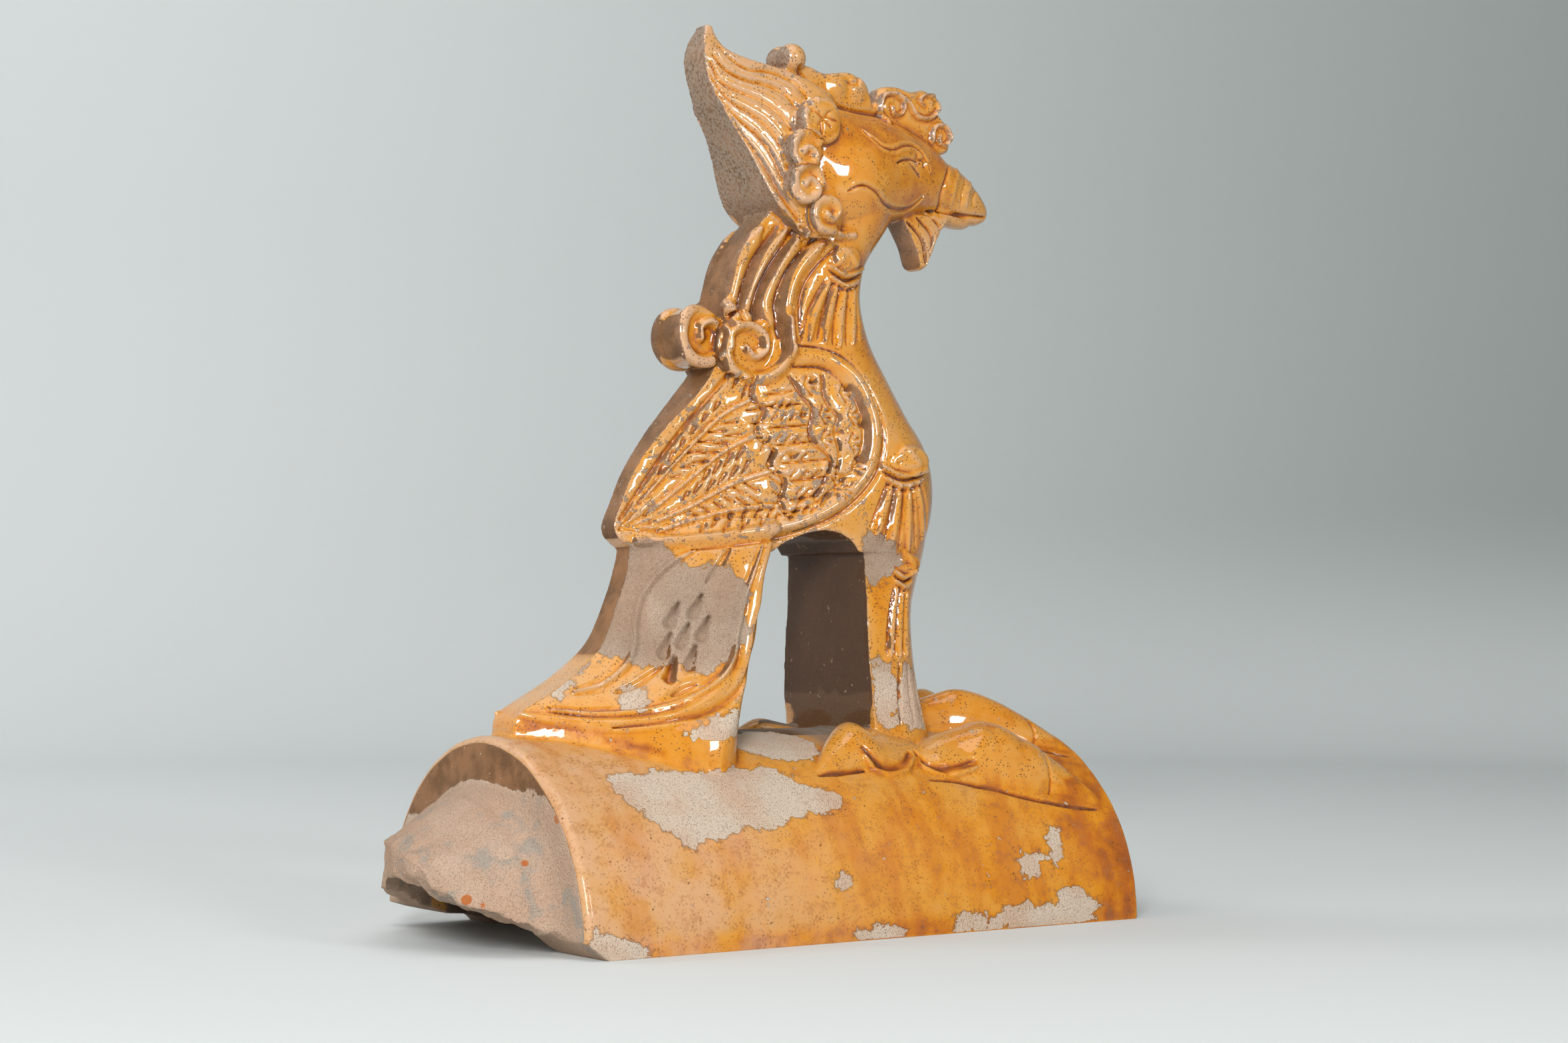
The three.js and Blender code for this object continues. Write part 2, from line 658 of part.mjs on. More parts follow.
// A toe or a heel: a mound that runs along the tile and thins to a point
function toe(stations) {
  const along = follow(stations.map(([x, , , ], i) => [i, x]));
  const aside = follow(stations.map(([, y], i) => [i, y]));
  const rise = follow(stations.map(([, , r], i) => [i, r]));
  const half = follow(stations.map(([, , , h], i) => [i, h]));
  const last = stations.length - 1;
  const rings = levels(0, last, last * 2).map((t) => {
    const step = 0.05;
    const ahead = along(t + step) - along(t - step);
    const outwards = aside(t + step) - aside(t - step);
    const heading = vec(ahead, -outwards, 0).normalize();
    const across = vec(-heading.y, heading.x, 0);
    const buried = 5;
    const y = aside(t);
    return levels(0, 2 * Math.PI, 8).slice(0, -1).map((a) => {
      const side = half(t) * Math.cos(a);
      const up = Math.sin(a) > 0 ? rise(t) * Math.sin(a) : buried * Math.sin(a);
      const spot = vec(along(t), -y, 0).addScaledVector(across, side);
      return vec(spot.x, spot.y, tileSurface(spot.y) + up);
    });
  });
  return loft(rings);
}

// Stations along each toe: place, distance from the middle line, rise and half width
const toes = [
  [
    [166, 38, 2, 5], [176, 38, 5, 11], [188, 38, 8.5, 13], [197, 39, 12, 13], [207, 43, 10, 11.5],
    [219, 48, 6, 7.5], [236, 57, 0.6, 1.5],
  ],
  [
    [178, 8, 8, 8], [192, 9, 12, 8.5], [204, 12, 15, 9], [217, 19, 12, 9], [229, 27, 6.5, 7],
    [240, 36, 0.6, 1.5],
  ],
  [
    [167, 34, 2, 6], [157, 32, 4, 11], [147, 31, 6.5, 11.5], [138, 33, 10, 10], [128, 37, 6, 7],
    [114, 43.5, 0.5, 1.2],
  ],
];

function archCutter() {
  const foot = drawnCrown - seatRadius * 0.25;
  const opening = smooth([
    [93, foot], [93, 76], [95, 88], [99, 100], [104, 118], [106.5, 130], [112, 138.5], [122, 144],
    [132, archTop], [141, 143.5], [147, 136], [149, 124], [149, 100], [149.5, 84], [151.5, foot],
  ], 40);
  return toSolid(sideSlab(opening, 60, 0));
}

function bird() {
  const crestParts = crest();
  const wattleParts = wattle();
  const middleForms = [
    plume.loft([...levels(256, 312, 6), ...levels(317, 333, 5)]),
    eggLoft(head, levels(128, 206, 10), 16),
    eggLoft(beak, levels(198, 228, 6), 10),
    eggLoft(mandible, levels(198, 221, 4), 8),
    rearRoll(),
    ...crestParts.middle,
    ...wattleParts.middle,
  ];
  const sideForms = [
    ...wing(),
    ...neckLocks(),
    ...cheek(),
    ...crestParts.sides,
    ...wattleParts.sides,
    ...tassel(body.skin, [147.5, 250], 6, 33, 10, 6),
    ...tassel(body.skin, [170, 173], 7, 32, 10, 3),
    ...tassel(legs.skin, [169, 134], 5, 30, 6, 3),
    ...toes.map(toe),
  ];
  const standingForms = [
    body.loft(levels(138, 270, 13)),
    legs.loft(levels(50, 160, 7)),
    tail.loft([...levels(46, 90, 8), ...levels(100, 150, 4)]),
  ];
  const whole = joined([
    joined(standingForms.map(toSolid)).subtract(archCutter()),
    ...middleForms.map(toSolid),
    ...sideForms.flatMap(onBothSides),
  ]);
  return faceLines().flatMap(onBothSides).reduce((carved, line) => carved.subtract(line), whole);
}

// Moves the drawn bird to its real size and its place on the tile.
function placed(solid) {
  const mesh = solid.getMesh();
  const positions = Float32Array.from(mesh.vertProperties);
  for (let i = 0; i < positions.length; i += 3) {
    positions[i] = tileLength / 2 + (positions[i] - drawnMiddle) * share;
    positions[i + 1] *= share;
    positions[i + 2] = tileRadius + (positions[i + 2] - drawnCrown) * share;
  }
  return new wasm.Manifold(new wasm.Mesh({
    numProp: 3, vertProperties: positions, triVerts: mesh.triVerts,
  }));
}

function ridgeTile() {
  const reach = tileLength + tileRadius;
  const below = block(vec(-reach, -reach, -reach), vec(2 * reach, reach, 0));
  const shell = turned(tileOutline());
  const withBird = shell.add(placed(thinned(bird(), faceting)));
  return withBird.subtract(channel()).subtract(below).subtract(tongueBreaks()).subtract(tileChips());
}

function toGeometry(solid) {
  const mesh = solid.getMesh();
  const geometry = new THREE.BufferGeometry();
  geometry.setAttribute('position', new THREE.BufferAttribute(Float32Array.from(mesh.vertProperties), 3));
  geometry.setIndex(new THREE.BufferAttribute(Uint32Array.from(mesh.triVerts), 1));
  geometry.computeVertexNormals();
  return geometry;
}

const phoenixTile = new THREE.Mesh(toGeometry(ridgeTile()), glaze);
phoenixTile.name = 'phoenix_ridge_tile';
phoenixTile.position.x = -(tileLength - tongueLength) / 2;

const ornament = new THREE.Group();
ornament.add(phoenixTile);

export default ornament;
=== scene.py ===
import math
import bpy
import numpy as np
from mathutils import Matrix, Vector


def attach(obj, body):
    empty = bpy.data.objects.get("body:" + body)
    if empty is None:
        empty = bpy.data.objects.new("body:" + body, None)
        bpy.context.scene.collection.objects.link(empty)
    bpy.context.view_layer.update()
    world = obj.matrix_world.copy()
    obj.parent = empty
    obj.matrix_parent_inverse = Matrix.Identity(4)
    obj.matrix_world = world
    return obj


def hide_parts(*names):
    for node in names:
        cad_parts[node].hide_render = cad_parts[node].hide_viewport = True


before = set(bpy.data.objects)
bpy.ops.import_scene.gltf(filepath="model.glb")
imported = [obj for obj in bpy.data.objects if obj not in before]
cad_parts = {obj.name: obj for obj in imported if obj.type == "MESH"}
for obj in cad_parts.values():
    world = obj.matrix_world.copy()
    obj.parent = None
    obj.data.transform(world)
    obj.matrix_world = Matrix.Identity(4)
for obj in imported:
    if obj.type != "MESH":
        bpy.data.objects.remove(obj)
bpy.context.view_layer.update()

# Shapes are drawn in millimetres from the tile's back shoulder (x), its middle (y) and the
# floor (z), and come into the frame's metres when a mesh is made.
mm = 0.001
tile = {
    "length": 243, "radius": 72, "wall": 18, "rimRounding": 3,
    "shoulder": 15, "fillet": 10,
    "tongueLength": 36, "tongueRoot": 51, "tongueTip": 37, "tongueEnd": 4, "tongueWall": 14,
    "sides": 200,
}
middle = (tile["length"] - tile["tongueLength"]) / 2


# Curves and sections

def follow(pairs):
    places, values = np.array(pairs, float).T
    before = np.maximum(np.arange(len(places)) - 1, 0)
    after = np.minimum(np.arange(len(places)) + 1, len(places) - 1)
    slopes = (values[after] - values[before]) / (places[after] - places[before])

    def at(place):
        place = np.clip(np.asarray(place, float), places[0], places[-1])
        i = np.clip(np.searchsorted(places, place, side="right") - 1, 0, len(places) - 2)
        span = places[i + 1] - places[i]
        t = (place - places[i]) / span
        fall = (1 + 2 * t) * (1 - t) ** 2
        bend = t * (1 - t) ** 2 * slopes[i] - t * t * (1 - t) * slopes[i + 1]
        return fall * values[i] + (1 - fall) * values[i + 1] + bend * span
    return at


def smooth(points, count, closed=False):
    # evenly spaced points of a soft curve through a few drawn ones
    p = np.array(points, float)
    if closed:
        p = np.vstack([p[-1], p, p[0], p[1]])
    else:
        p = np.vstack([2 * p[0] - p[1], p, 2 * p[-1] - p[-2]])
    fine = []
    for a, b, c, d in zip(p, p[1:], p[2:], p[3:]):
        for t in np.linspace(0, 1, 12, endpoint=False):
            bend = (2 * a - 5 * b + 4 * c - d) * t * t + (3 * b - a - 3 * c + d) * t ** 3
            fine.append(b + 0.5 * ((c - a) * t + bend))
    fine.append(p[-2])
    fine = np.array(fine)
    run = np.concatenate([[0], np.cumsum(np.linalg.norm(np.diff(fine, axis=0), axis=1))])
    even = np.linspace(0, run[-1], count + 1)
    return np.stack([np.interp(even, run, side) for side in fine.T], axis=1)


# Closed lumps of clay, each a list of rings or an outline

def meshOf(name, verts, faces):
    verts = np.asarray(verts, float)
    fan = np.array([(f[0], f[i], f[i + 1]) for f in faces for i in range(1, len(f) - 1)])
    one, two, three = verts[fan[:, 0]], verts[fan[:, 1]], verts[fan[:, 2]]
    if np.sum(one * np.cross(two, three)) < 0:
        faces = [f[::-1] for f in faces]
    mesh = bpy.data.meshes.new(name)
    mesh.from_pydata([((x - middle) * mm, y * mm, z * mm) for x, y, z in verts.tolist()], [], faces)
    lump = bpy.data.objects.new(name, mesh)
    bpy.context.collection.objects.link(lump)
    return lump


def loft(name, rings):
    rings = np.asarray(rings, float)
    levels, around = rings.shape[:2]
    faces = []
    for i in range(levels - 1):
        for j in range(around):
            a, b = i * around + j, i * around + (j + 1) % around
            faces.append((a, b, b + around, a + around))
    faces.append(tuple(range(around))[::-1])
    faces.append(tuple((levels - 1) * around + j for j in range(around)))
    return meshOf(name, rings.reshape(-1, 3), faces)


def mirrored(lump):
    twin = lump.copy()
    twin.data = lump.data.copy()
    bpy.context.collection.objects.link(twin)
    flat = np.empty(len(twin.data.vertices) * 3)
    twin.data.vertices.foreach_get("co", flat)
    flat[1::3] *= -1
    twin.data.vertices.foreach_set("co", flat)
    twin.data.flip_normals()
    return twin


def slab(name, outline, near, far, bevel=0.0):
    # a plate cut to an outline in the side view, between two distances from the middle
    outline = np.asarray(outline, float)
    inward = outline.mean(0) - outline
    inward /= np.linalg.norm(inward, axis=1, keepdims=True)
    rings = []
    for y, inset in [(near, bevel), (near + bevel, 0.3 * bevel), (near + 2 * bevel, 0),
                     (far - 2 * bevel, 0), (far - bevel, 0.3 * bevel), (far, bevel)]:
        ring = outline + inward * inset
        rings.append(np.stack([ring[:, 0], np.full(len(ring), y), ring[:, 1]], 1))
    return loft(name, rings if bevel else [rings[0], rings[-1]])


def turned(name, outline):
    # radius against length, turned about the tile's own axis
    angles = np.linspace(0, 2 * math.pi, tile["sides"], endpoint=False)
    rings = [np.stack([np.full(len(angles), x), radius * np.cos(angles), radius * np.sin(angles)], 1)
             for radius, x in outline]
    return loft(name, rings)


def only(*lumps):
    bpy.ops.object.select_all(action="DESELECT")
    for lump in lumps:
        lump.select_set(True)
    bpy.context.view_layer.objects.active = lumps[0]


def finishWith(lump, kind, **settings):
    only(lump)
    made = lump.modifiers.new(kind.title(), kind)
    for name, value in settings.items():
        setattr(made, name, value)
    bpy.ops.object.modifier_apply(modifier=made.name)


def cutBy(lump, *cutters):
    for cutter in cutters:
        finishWith(lump, "BOOLEAN", operation="DIFFERENCE", solver="EXACT", object=cutter)
    return lump


def dropAway(*lumps):
    for lump in lumps:
        bpy.data.objects.remove(lump)


# The half-round tile and its tongue

def makeTile():
    t = tile
    outline = [(0.01, t["length"]), (t["radius"] - 1, t["length"]), (t["radius"], t["length"] - 1)]
    for a in np.linspace(0, math.pi / 2, 6):
        outline.append((t["radius"] - t["rimRounding"] * (1 - math.cos(a)),
                        t["rimRounding"] * (1 - math.sin(a))))
    for a in np.linspace(0, math.pi / 2, 8):
        outline.append((t["tongueRoot"] + t["fillet"] * (1 - math.sin(a)),
                        -t["fillet"] * (1 - math.cos(a))))
    for a in np.linspace(0, math.pi / 2, 6):
        outline.append((t["tongueTip"] - t["tongueEnd"] * (1 - math.cos(a)),
                        -t["tongueLength"] + t["tongueEnd"] * (1 - math.sin(a))))
    outline.append((0.01, -t["tongueLength"]))
    shell = turned("tile", outline)

    bore = t["radius"] - t["wall"]
    neck, tip = t["tongueRoot"] - t["tongueWall"], t["tongueTip"] - t["tongueWall"]
    slope = t["wall"] / 2
    channel = turned("channel", [
        (0.01, t["length"] + 5), (bore, t["length"] + 5), (bore, t["shoulder"] + slope),
        (neck, t["shoulder"] - slope), (neck, 0), (tip, -t["tongueLength"]),
        (tip, -t["tongueLength"] - 5), (0.01, -t["tongueLength"] - 5),
    ])
    end = -t["tongueLength"]
    away = end - 9
    nearEdge = slab("near break", [
        (9, -1), (-1, 7), (-9, 11), (-18, 15), (-27, 18), (end + 3, 23), (end, 27), (away, 28), (away, -1),
    ], -82, 2)
    farEdge = slab("far break", [
        (36, -1), (32, 2.5), (22, 4.5), (8, 6.5), (0, 9), (-10, 13), (-17, 17), (end, 19), (away, 19), (away, -1),
    ], 2, 82)
    plan = np.array([
        (end + 2, -60), (end + 1.5, -26), (end, -14), (end + 1, 0), (end + 4, 10), (end + 10, 22),
        (end + 17, 34), (end + 24, 60), (away, 60), (away, -60),
    ], float)
    endFace = loft("end break", [[(x, y, z) for x, y in plan] for z in (-1, 82)])
    cutBy(shell, channel, nearEdge, farEdge, endFace)
    dropAway(channel, nearEdge, farEdge, endFace)
    # the lower half goes
    only(shell)
    bpy.ops.object.mode_set(mode="EDIT")
    bpy.ops.mesh.select_all(action="SELECT")
    bpy.ops.mesh.bisect(plane_co=(0, 0, 0), plane_no=(0, 0, 1), use_fill=True, clear_inner=True)
    bpy.ops.object.mode_set(mode="OBJECT")
    return shell


# The standing forms: level sections with a flat narrow back, widening flanks and a round front

def wedge(profile):
    edges = {name: follow(pairs) for name, pairs in profile.items()}

    def width(x, z):
        noseStart = edges["front"](z) - edges["nose"](z)
        back = edges["back"](z)
        ahead = np.clip((x - noseStart) / edges["nose"](z), 0, 1)
        u = np.clip((x - back) / (noseStart - back), 0, 1)
        flank = edges["backHalf"](z) + (edges["fullHalf"](z) - edges["backHalf"](z)) * (1 - (1 - u) ** 1.3)
        return np.where(ahead > 0, edges["fullHalf"](z) * np.sqrt(1 - ahead * ahead), flank)

    def ring(z):
        back, front, nose = float(edges["back"](z)), float(edges["front"](z)), float(edges["nose"](z))
        flank = np.linspace(back, front - nose, 14)[:-1]
        a = np.linspace(0, math.pi / 2, 14)
        x = np.concatenate([flank, front - nose + nose * np.sin(a)])
        y = np.concatenate([width(flank, z), float(edges["fullHalf"](z)) * np.cos(a)])
        near = np.stack([x, -y, np.full(len(x), z)], 1)
        far = near[:-1][::-1] * (1, -1, 1)
        return np.vstack([near, far])

    def onFlank(x, z):
        return np.array([x, -float(width(x, z)), z])
    return {"ring": ring, "onFlank": onFlank}


def standing(name, form, low, high, step=2.0):
    return loft(name, [form["ring"](z) for z in np.arange(low, high + step / 2, step)])


body = wedge({
    "back": [(138, 59), (142, 53), (146, 51), (154, 54), (168, 60.5), (183, 72), (193, 82), (204, 91),
             (214, 96), (233, 97.5), (244, 100.5), (254, 107), (262, 114), (270, 121)],
    "front": [(138, 188), (148, 191.5), (158, 193.5), (168, 193.5), (179, 190), (192, 181), (204, 174),
              (218, 166.5), (230, 163), (240, 162.5), (250, 165), (262, 173), (270, 178)],
    "backHalf": [(138, 6), (146, 4.5), (168, 4.5), (183, 6.5), (195, 9), (212, 8), (250, 7.5), (270, 8)],
    "fullHalf": [(138, 27), (150, 28), (168, 28), (182, 27), (195, 24.5), (208, 21), (222, 17.5),
                 (236, 15.5), (250, 16), (270, 18)],
    "nose": [(138, 28), (180, 30), (205, 26), (230, 20), (270, 18)],
})
legsRear = 149
legs = wedge({
    "back": [(50, legsRear + 4), (72, legsRear + 2), (90, legsRear), (160, legsRear)],
    "front": [(50, 190), (70, 188), (80, 185.5), (90, 183), (106, 181.5), (118, 182), (128, 185),
              (140, 189), (160, 193)],
    "backHalf": [(50, 29), (84, 28.5), (108, 26.5), (131, 25), (160, 24)],
    "fullHalf": [(50, 31), (84, 29.5), (108, 27.5), (131, 27), (160, 27)],
    "nose": [(50, 24), (106, 22), (160, 28)],
})
tail = wedge({
    "back": [(46, 11), (70, 8.5), (78, 9), (82, 14), (89, 27), (96, 37), (103, 45), (111, 49.5),
             (120, 53), (130, 56.5), (150, 60)],
    "front": [(46, 93), (66, 92), (80, 92.5), (92, 96.5), (104, 100.5), (118, 104), (130, 106.5),
              (140, 111), (150, 116)],
    "backHalf": [(46, 11), (74, 8), (86, 8.5), (96, 7.5), (112, 6), (136, 5), (150, 2)],
    "fullHalf": [(46, 44), (64, 43), (73, 41.5), (79, 38), (84, 34.5), (92, 31.5), (104, 29),
                 (120, 27), (136, 25.5), (150, 21)],
    "nose": [(46, 22), (70, 18), (84, 8), (110, 5), (150, 5)],
})
plume = wedge({
    "back": [(256, 128), (262, 121.5), (270, 113.5), (284, 106), (293, 101.2), (303, 94.8), (312, 90.4),
             (318, 88.8), (323, 88.4), (328, 89), (333, 91.4)],
    "front": [(256, 150), (312, 150), (317, 140), (320, 128), (322, 113), (325, 102), (329, 97.4), (333, 95.2)],
    "backHalf": [(256, 17), (266, 16.5), (284, 13.3), (303, 9.6), (312, 7.4), (322, 7.2), (328, 5.6), (333, 3.4)],
    "fullHalf": [(256, 19), (281, 19), (300, 16.5), (312, 12.5), (320, 9.5), (326, 6.6), (333, 3.6)],
    "nose": [(256, 12), (312, 12), (322, 6), (333, 1.6)],
})
archway = [
    (93, 50), (93, 76), (95, 88), (99, 100), (104, 118), (106.5, 130), (112, 138.5), (122, 144),
    (132, 146), (141, 143.5), (147, 136), (149, 124), (149, 100), (149.5, 84), (151.5, 50),
]


def makeStanding():
    forms = [standing("body", body, 138, 270), standing("legs", legs, 50, 160),
             standing("tail", tail, 46, 150)]
    cutter = slab("archway", smooth(archway, 60), -60, 60)
    for form in forms:
        cutBy(form, cutter)
    dropAway(cutter)
    forms.append(standing("plume", plume, 256, 333.5, 1.5))
    return forms


# Head, beak and jaw, as sections along the way it looks

head = {
    "top": follow([(128, 302), (136, 307.5), (146, 309.5), (158, 308.5), (170, 308), (182, 305.5),
                   (192, 302), (200, 297.5), (206, 293)]),
    "bottom": follow([(128, 268), (136, 259.5), (146, 256), (158, 257.5), (168, 261.5), (178, 267),
                      (190, 271.5), (206, 274.5)]),
    "half": follow([(128, 17), (136, 19.5), (148, 21), (160, 20.5), (172, 18.5), (184, 15),
                    (196, 11.5), (206, 9)]),
}
beak = {
    "top": follow([(198, 294), (206, 294), (214, 290.5), (221, 285.2), (226, 280), (228, 276.5)]),
    "bottom": follow([(198, 276), (206, 273.5), (214, 270.8), (221, 270), (226, 271.6), (228, 273.6)]),
    "half": follow([(198, 9), (206, 8.4), (214, 7.2), (221, 5.6), (226, 3.8), (228, 1.6)]),
}
jaw = {
    "top": follow([(198, 277), (221, 272.8)]),
    "bottom": follow([(198, 271), (208, 268.6), (216, 268.2), (221, 270.8)]),
    "half": follow([(198, 5.5), (208, 5.5), (216, 4), (221, 1.2)]),
}


def egg(name, form, low, high, step=1.5, sides=48):
    a = np.linspace(0, 2 * math.pi, sides, endpoint=False)
    rounded = [np.sign(f(a)) * np.abs(f(a)) ** 0.9 for f in (np.sin, np.cos)]
    rings = []
    for x in np.linspace(low, high, int((high - low) / step) + 1):
        tall = (form["top"](x) - form["bottom"](x)) / 2
        level = (form["top"](x) + form["bottom"](x)) / 2
        rings.append(np.stack([np.full(sides, x), form["half"](x) * rounded[0],
                               level + tall * rounded[1]], 1))
    return loft(name, rings)


# Raised pieces: a round boss, and what is set on the head and neck

def boss(name, centre, wide, rise, tall=None, sides=28):
    tall = tall or wide
    a = np.linspace(0, 2 * math.pi, sides, endpoint=False)
    rings = []
    for share, out in [(1, -3), (1, 0), (0.96, 0.35), (0.85, 0.65), (0.65, 0.86), (0.35, 0.97), (0.02, 1)]:
        height = out * rise if out > 0 else out
        rings.append(np.stack([centre[0] + wide * share * np.cos(a), np.full(sides, centre[1] - height),
                               centre[2] + tall * share * np.sin(a)], 1))
    return loft(name, rings)


crest = {
    "ridge": [(118, 316), (124, 321), (136, 324.5), (145, 322.5), (150, 322.8), (159, 324), (166, 320),
              (169, 311), (168, 302), (120, 302)],
    "comb": [(168, 303), (169, 313), (173, 319.5), (180, 321), (188, 320), (196, 321.5), (201, 317.5),
             (203, 311), (207, 308.5), (208, 303), (205, 297), (190, 296)],
    "half": 5, "knob": (130.5, 3.5, 326), "knobRadius": 5.7,
}
wattle = {"outline": [(180, 272), (184, 265), (187.5, 258), (190.7, 250.5), (194, 250.3), (197.5, 256),
                      (201, 264), (206, 272)], "half": 6}
rearScroll = {"centre": (88, 217), "radius": 11, "half": 8}
softEdge = 1.5
frontScroll = {"centre": (104.5, 213.3), "radius": 12.6, "rise": 4.2}
cheekCurls = {"spots": [((131.8, 299.8), 9), ((125, 288), 7.6), ((125.5, 275.8), 7.8), ((134.5, 264), 6.8)],
              "out": 19.5, "rise": 3.2}
bells = {
    "spots": [((147.5, 250), 6.4, body), ((170, 173), 8, body), ((169, 134), 5.4, legs)],
    "riseShare": 0.3, "heightShare": 0.7,
}


def makeHead():
    ridge, comb = smooth(crest["ridge"], 60, True)[:-1], smooth(crest["comb"], 60, True)[:-1]
    lobe = smooth(wattle["outline"], 30)
    lumps = [
        egg("head", head, 128, 206), egg("beak", beak, 198, 228, 1), egg("jaw", jaw, 198, 221, 1),
        slab("ridge", ridge, -crest["half"], crest["half"], softEdge),
        slab("comb", comb, -crest["half"], crest["half"], softEdge),
        slab("wattle", lobe, -wattle["half"], wattle["half"], softEdge),
    ]
    for side in (-1, 1):
        x, y, z = crest["knob"]
        bpy.ops.object.select_all(action="DESELECT")
        bpy.ops.mesh.primitive_uv_sphere_add(
            segments=32, ring_count=20, radius=crest["knobRadius"] * mm,
            location=((x - middle) * mm, side * y * mm, z * mm))
        lumps.append(bpy.context.object)
    for (x, z), radius in cheekCurls["spots"]:
        near = boss("cheek curl", (x, -cheekCurls["out"], z), radius, cheekCurls["rise"])
        lumps += [near, mirrored(near)]
    return lumps


def makeScrolls():
    a = np.linspace(0, 2 * math.pi, 48, endpoint=False)
    x, z = rearScroll["centre"]
    ring = np.stack([x + rearScroll["radius"] * np.cos(a), z + rearScroll["radius"] * np.sin(a)], 1)
    lumps = [slab("rear scroll", ring, -rearScroll["half"], rearScroll["half"], softEdge)]
    spot = body["onFlank"](*frontScroll["centre"])
    near = boss("front scroll", spot, frontScroll["radius"], frontScroll["rise"])
    return lumps + [near, mirrored(near)]


def makeBells():
    lumps = []
    for (x, z), radius, form in bells["spots"]:
        rise, tall = radius * bells["riseShare"], radius * bells["heightShare"]
        near = boss("bell", form["onFlank"](x, z), radius, rise, tall)
        lumps += [near, mirrored(near)]
    return lumps


# how far a toe reaches down into the tile
buried = 5
# Toes lie along the tile: place, distance from the middle, rise and half width
toes = [
    [(166, 38, 2, 5), (176, 38, 5, 11), (188, 38, 8.5, 13), (197, 39, 12, 13), (207, 43, 10, 11.5),
     (219, 48, 6, 7.5), (236, 57, 0.6, 1.5)],
    [(178, 8, 8, 8), (192, 9, 12, 8.5), (204, 12, 15, 9), (217, 19, 12, 9), (229, 27, 6.5, 7),
     (240, 36, 0.6, 1.5)],
    [(167, 34, 2, 6), (157, 32, 4, 11), (147, 31, 6.5, 11.5), (138, 33, 10, 10), (128, 37, 6, 7),
     (114, 43.5, 0.5, 1.2)],
]


def makeToe(stations):
    numbers = np.arange(len(stations))
    x, y, rise, half = [follow(list(zip(numbers, side))) for side in np.array(stations).T]
    rings = []
    for t in np.linspace(0, len(stations) - 1, 6 * len(stations)):
        heading = np.array([x(t + 0.05) - x(t - 0.05), y(t - 0.05) - y(t + 0.05)])
        heading /= np.linalg.norm(heading)
        ring = []
        for a in np.linspace(0, 2 * math.pi, 24, endpoint=False):
            side, up = half(t) * math.cos(a), math.sin(a)
            px, py = x(t) - heading[1] * side, -y(t) + heading[0] * side
            lift = rise(t) if up > 0 else buried
            pz = math.sqrt(tile["radius"] ** 2 - py ** 2) + lift * up
            ring.append((px, py, pz))
        rings.append(ring)
    near = loft("toe", rings)
    return [near, mirrored(near)]


clay = [makeTile()] + makeStanding() + makeHead() + makeScrolls() + makeBells()
for stations in toes:
    clay += makeToe(stations)
print("shaped", len(clay), "lumps of clay")

finish = {"voxel": 0.6, "melt": 3, "triangles": 196000}
only(*clay)
bpy.ops.object.join()
ornament = bpy.context.object
ornament.name = "ridge_beast"
finishWith(ornament, "REMESH", mode="VOXEL", voxel_size=finish["voxel"] * mm)
print("joined into one skin of", len(ornament.data.polygons), "faces")
finishWith(ornament, "SMOOTH", factor=0.5, iterations=finish["melt"])


# Carving. Strokes are drawn in the side view (x, z) and fall alike on both flanks, as from a mould.

def readSkin(piece):
    count = len(piece.data.vertices)
    flat, turns = np.empty(count * 3), np.empty(count * 3)
    piece.data.vertices.foreach_get("co", flat)
    piece.data.vertex_normals.foreach_get("vector", turns)
    return flat.reshape(-1, 3) / mm + (middle, 0, 0), turns.reshape(-1, 3)


def writeSkin(piece, spots):
    piece.data.vertices.foreach_set("co", ((spots - (middle, 0, 0)) * mm).ravel())
    piece.data.update()


def ease(low, high, value):
    t = np.clip((value - low) / (high - low), 0, 1)
    return t * t * (3 - 2 * t)


def grain(spots, size, seed):
    # soft random field between -1 and 1, with lumps of the given size
    p = spots / size + seed * 17.3
    cell = np.floor(p).astype(np.int64)
    f = p - cell
    f = f * f * (3 - 2 * f)
    total = np.zeros(len(p))
    for dx in (0, 1):
        for dy in (0, 1):
            for dz in (0, 1):
                h = (cell[:, 0] + dx) * 73856093 ^ (cell[:, 1] + dy) * 19349663 ^ (cell[:, 2] + dz) * 83492791
                h = (h ^ (h >> 13)) * 1274126177 & 0x7FFFFFFF
                weight = (f[:, 0] if dx else 1 - f[:, 0]) * (f[:, 1] if dy else 1 - f[:, 1])
                total += (h / 0x3FFFFFFF - 1) * weight * (f[:, 2] if dz else 1 - f[:, 2])
    return total


def blur(values, links, times):
    one, two = links.T
    count = len(values)
    around = np.bincount(one, minlength=count) + np.bincount(two, minlength=count)
    for _ in range(times):
        columns = [np.bincount(one, c[two], count) + np.bincount(two, c[one], count) for c in values.T]
        values = 0.5 * values + 0.5 * np.stack(columns, 1) / around[:, None]
    return values


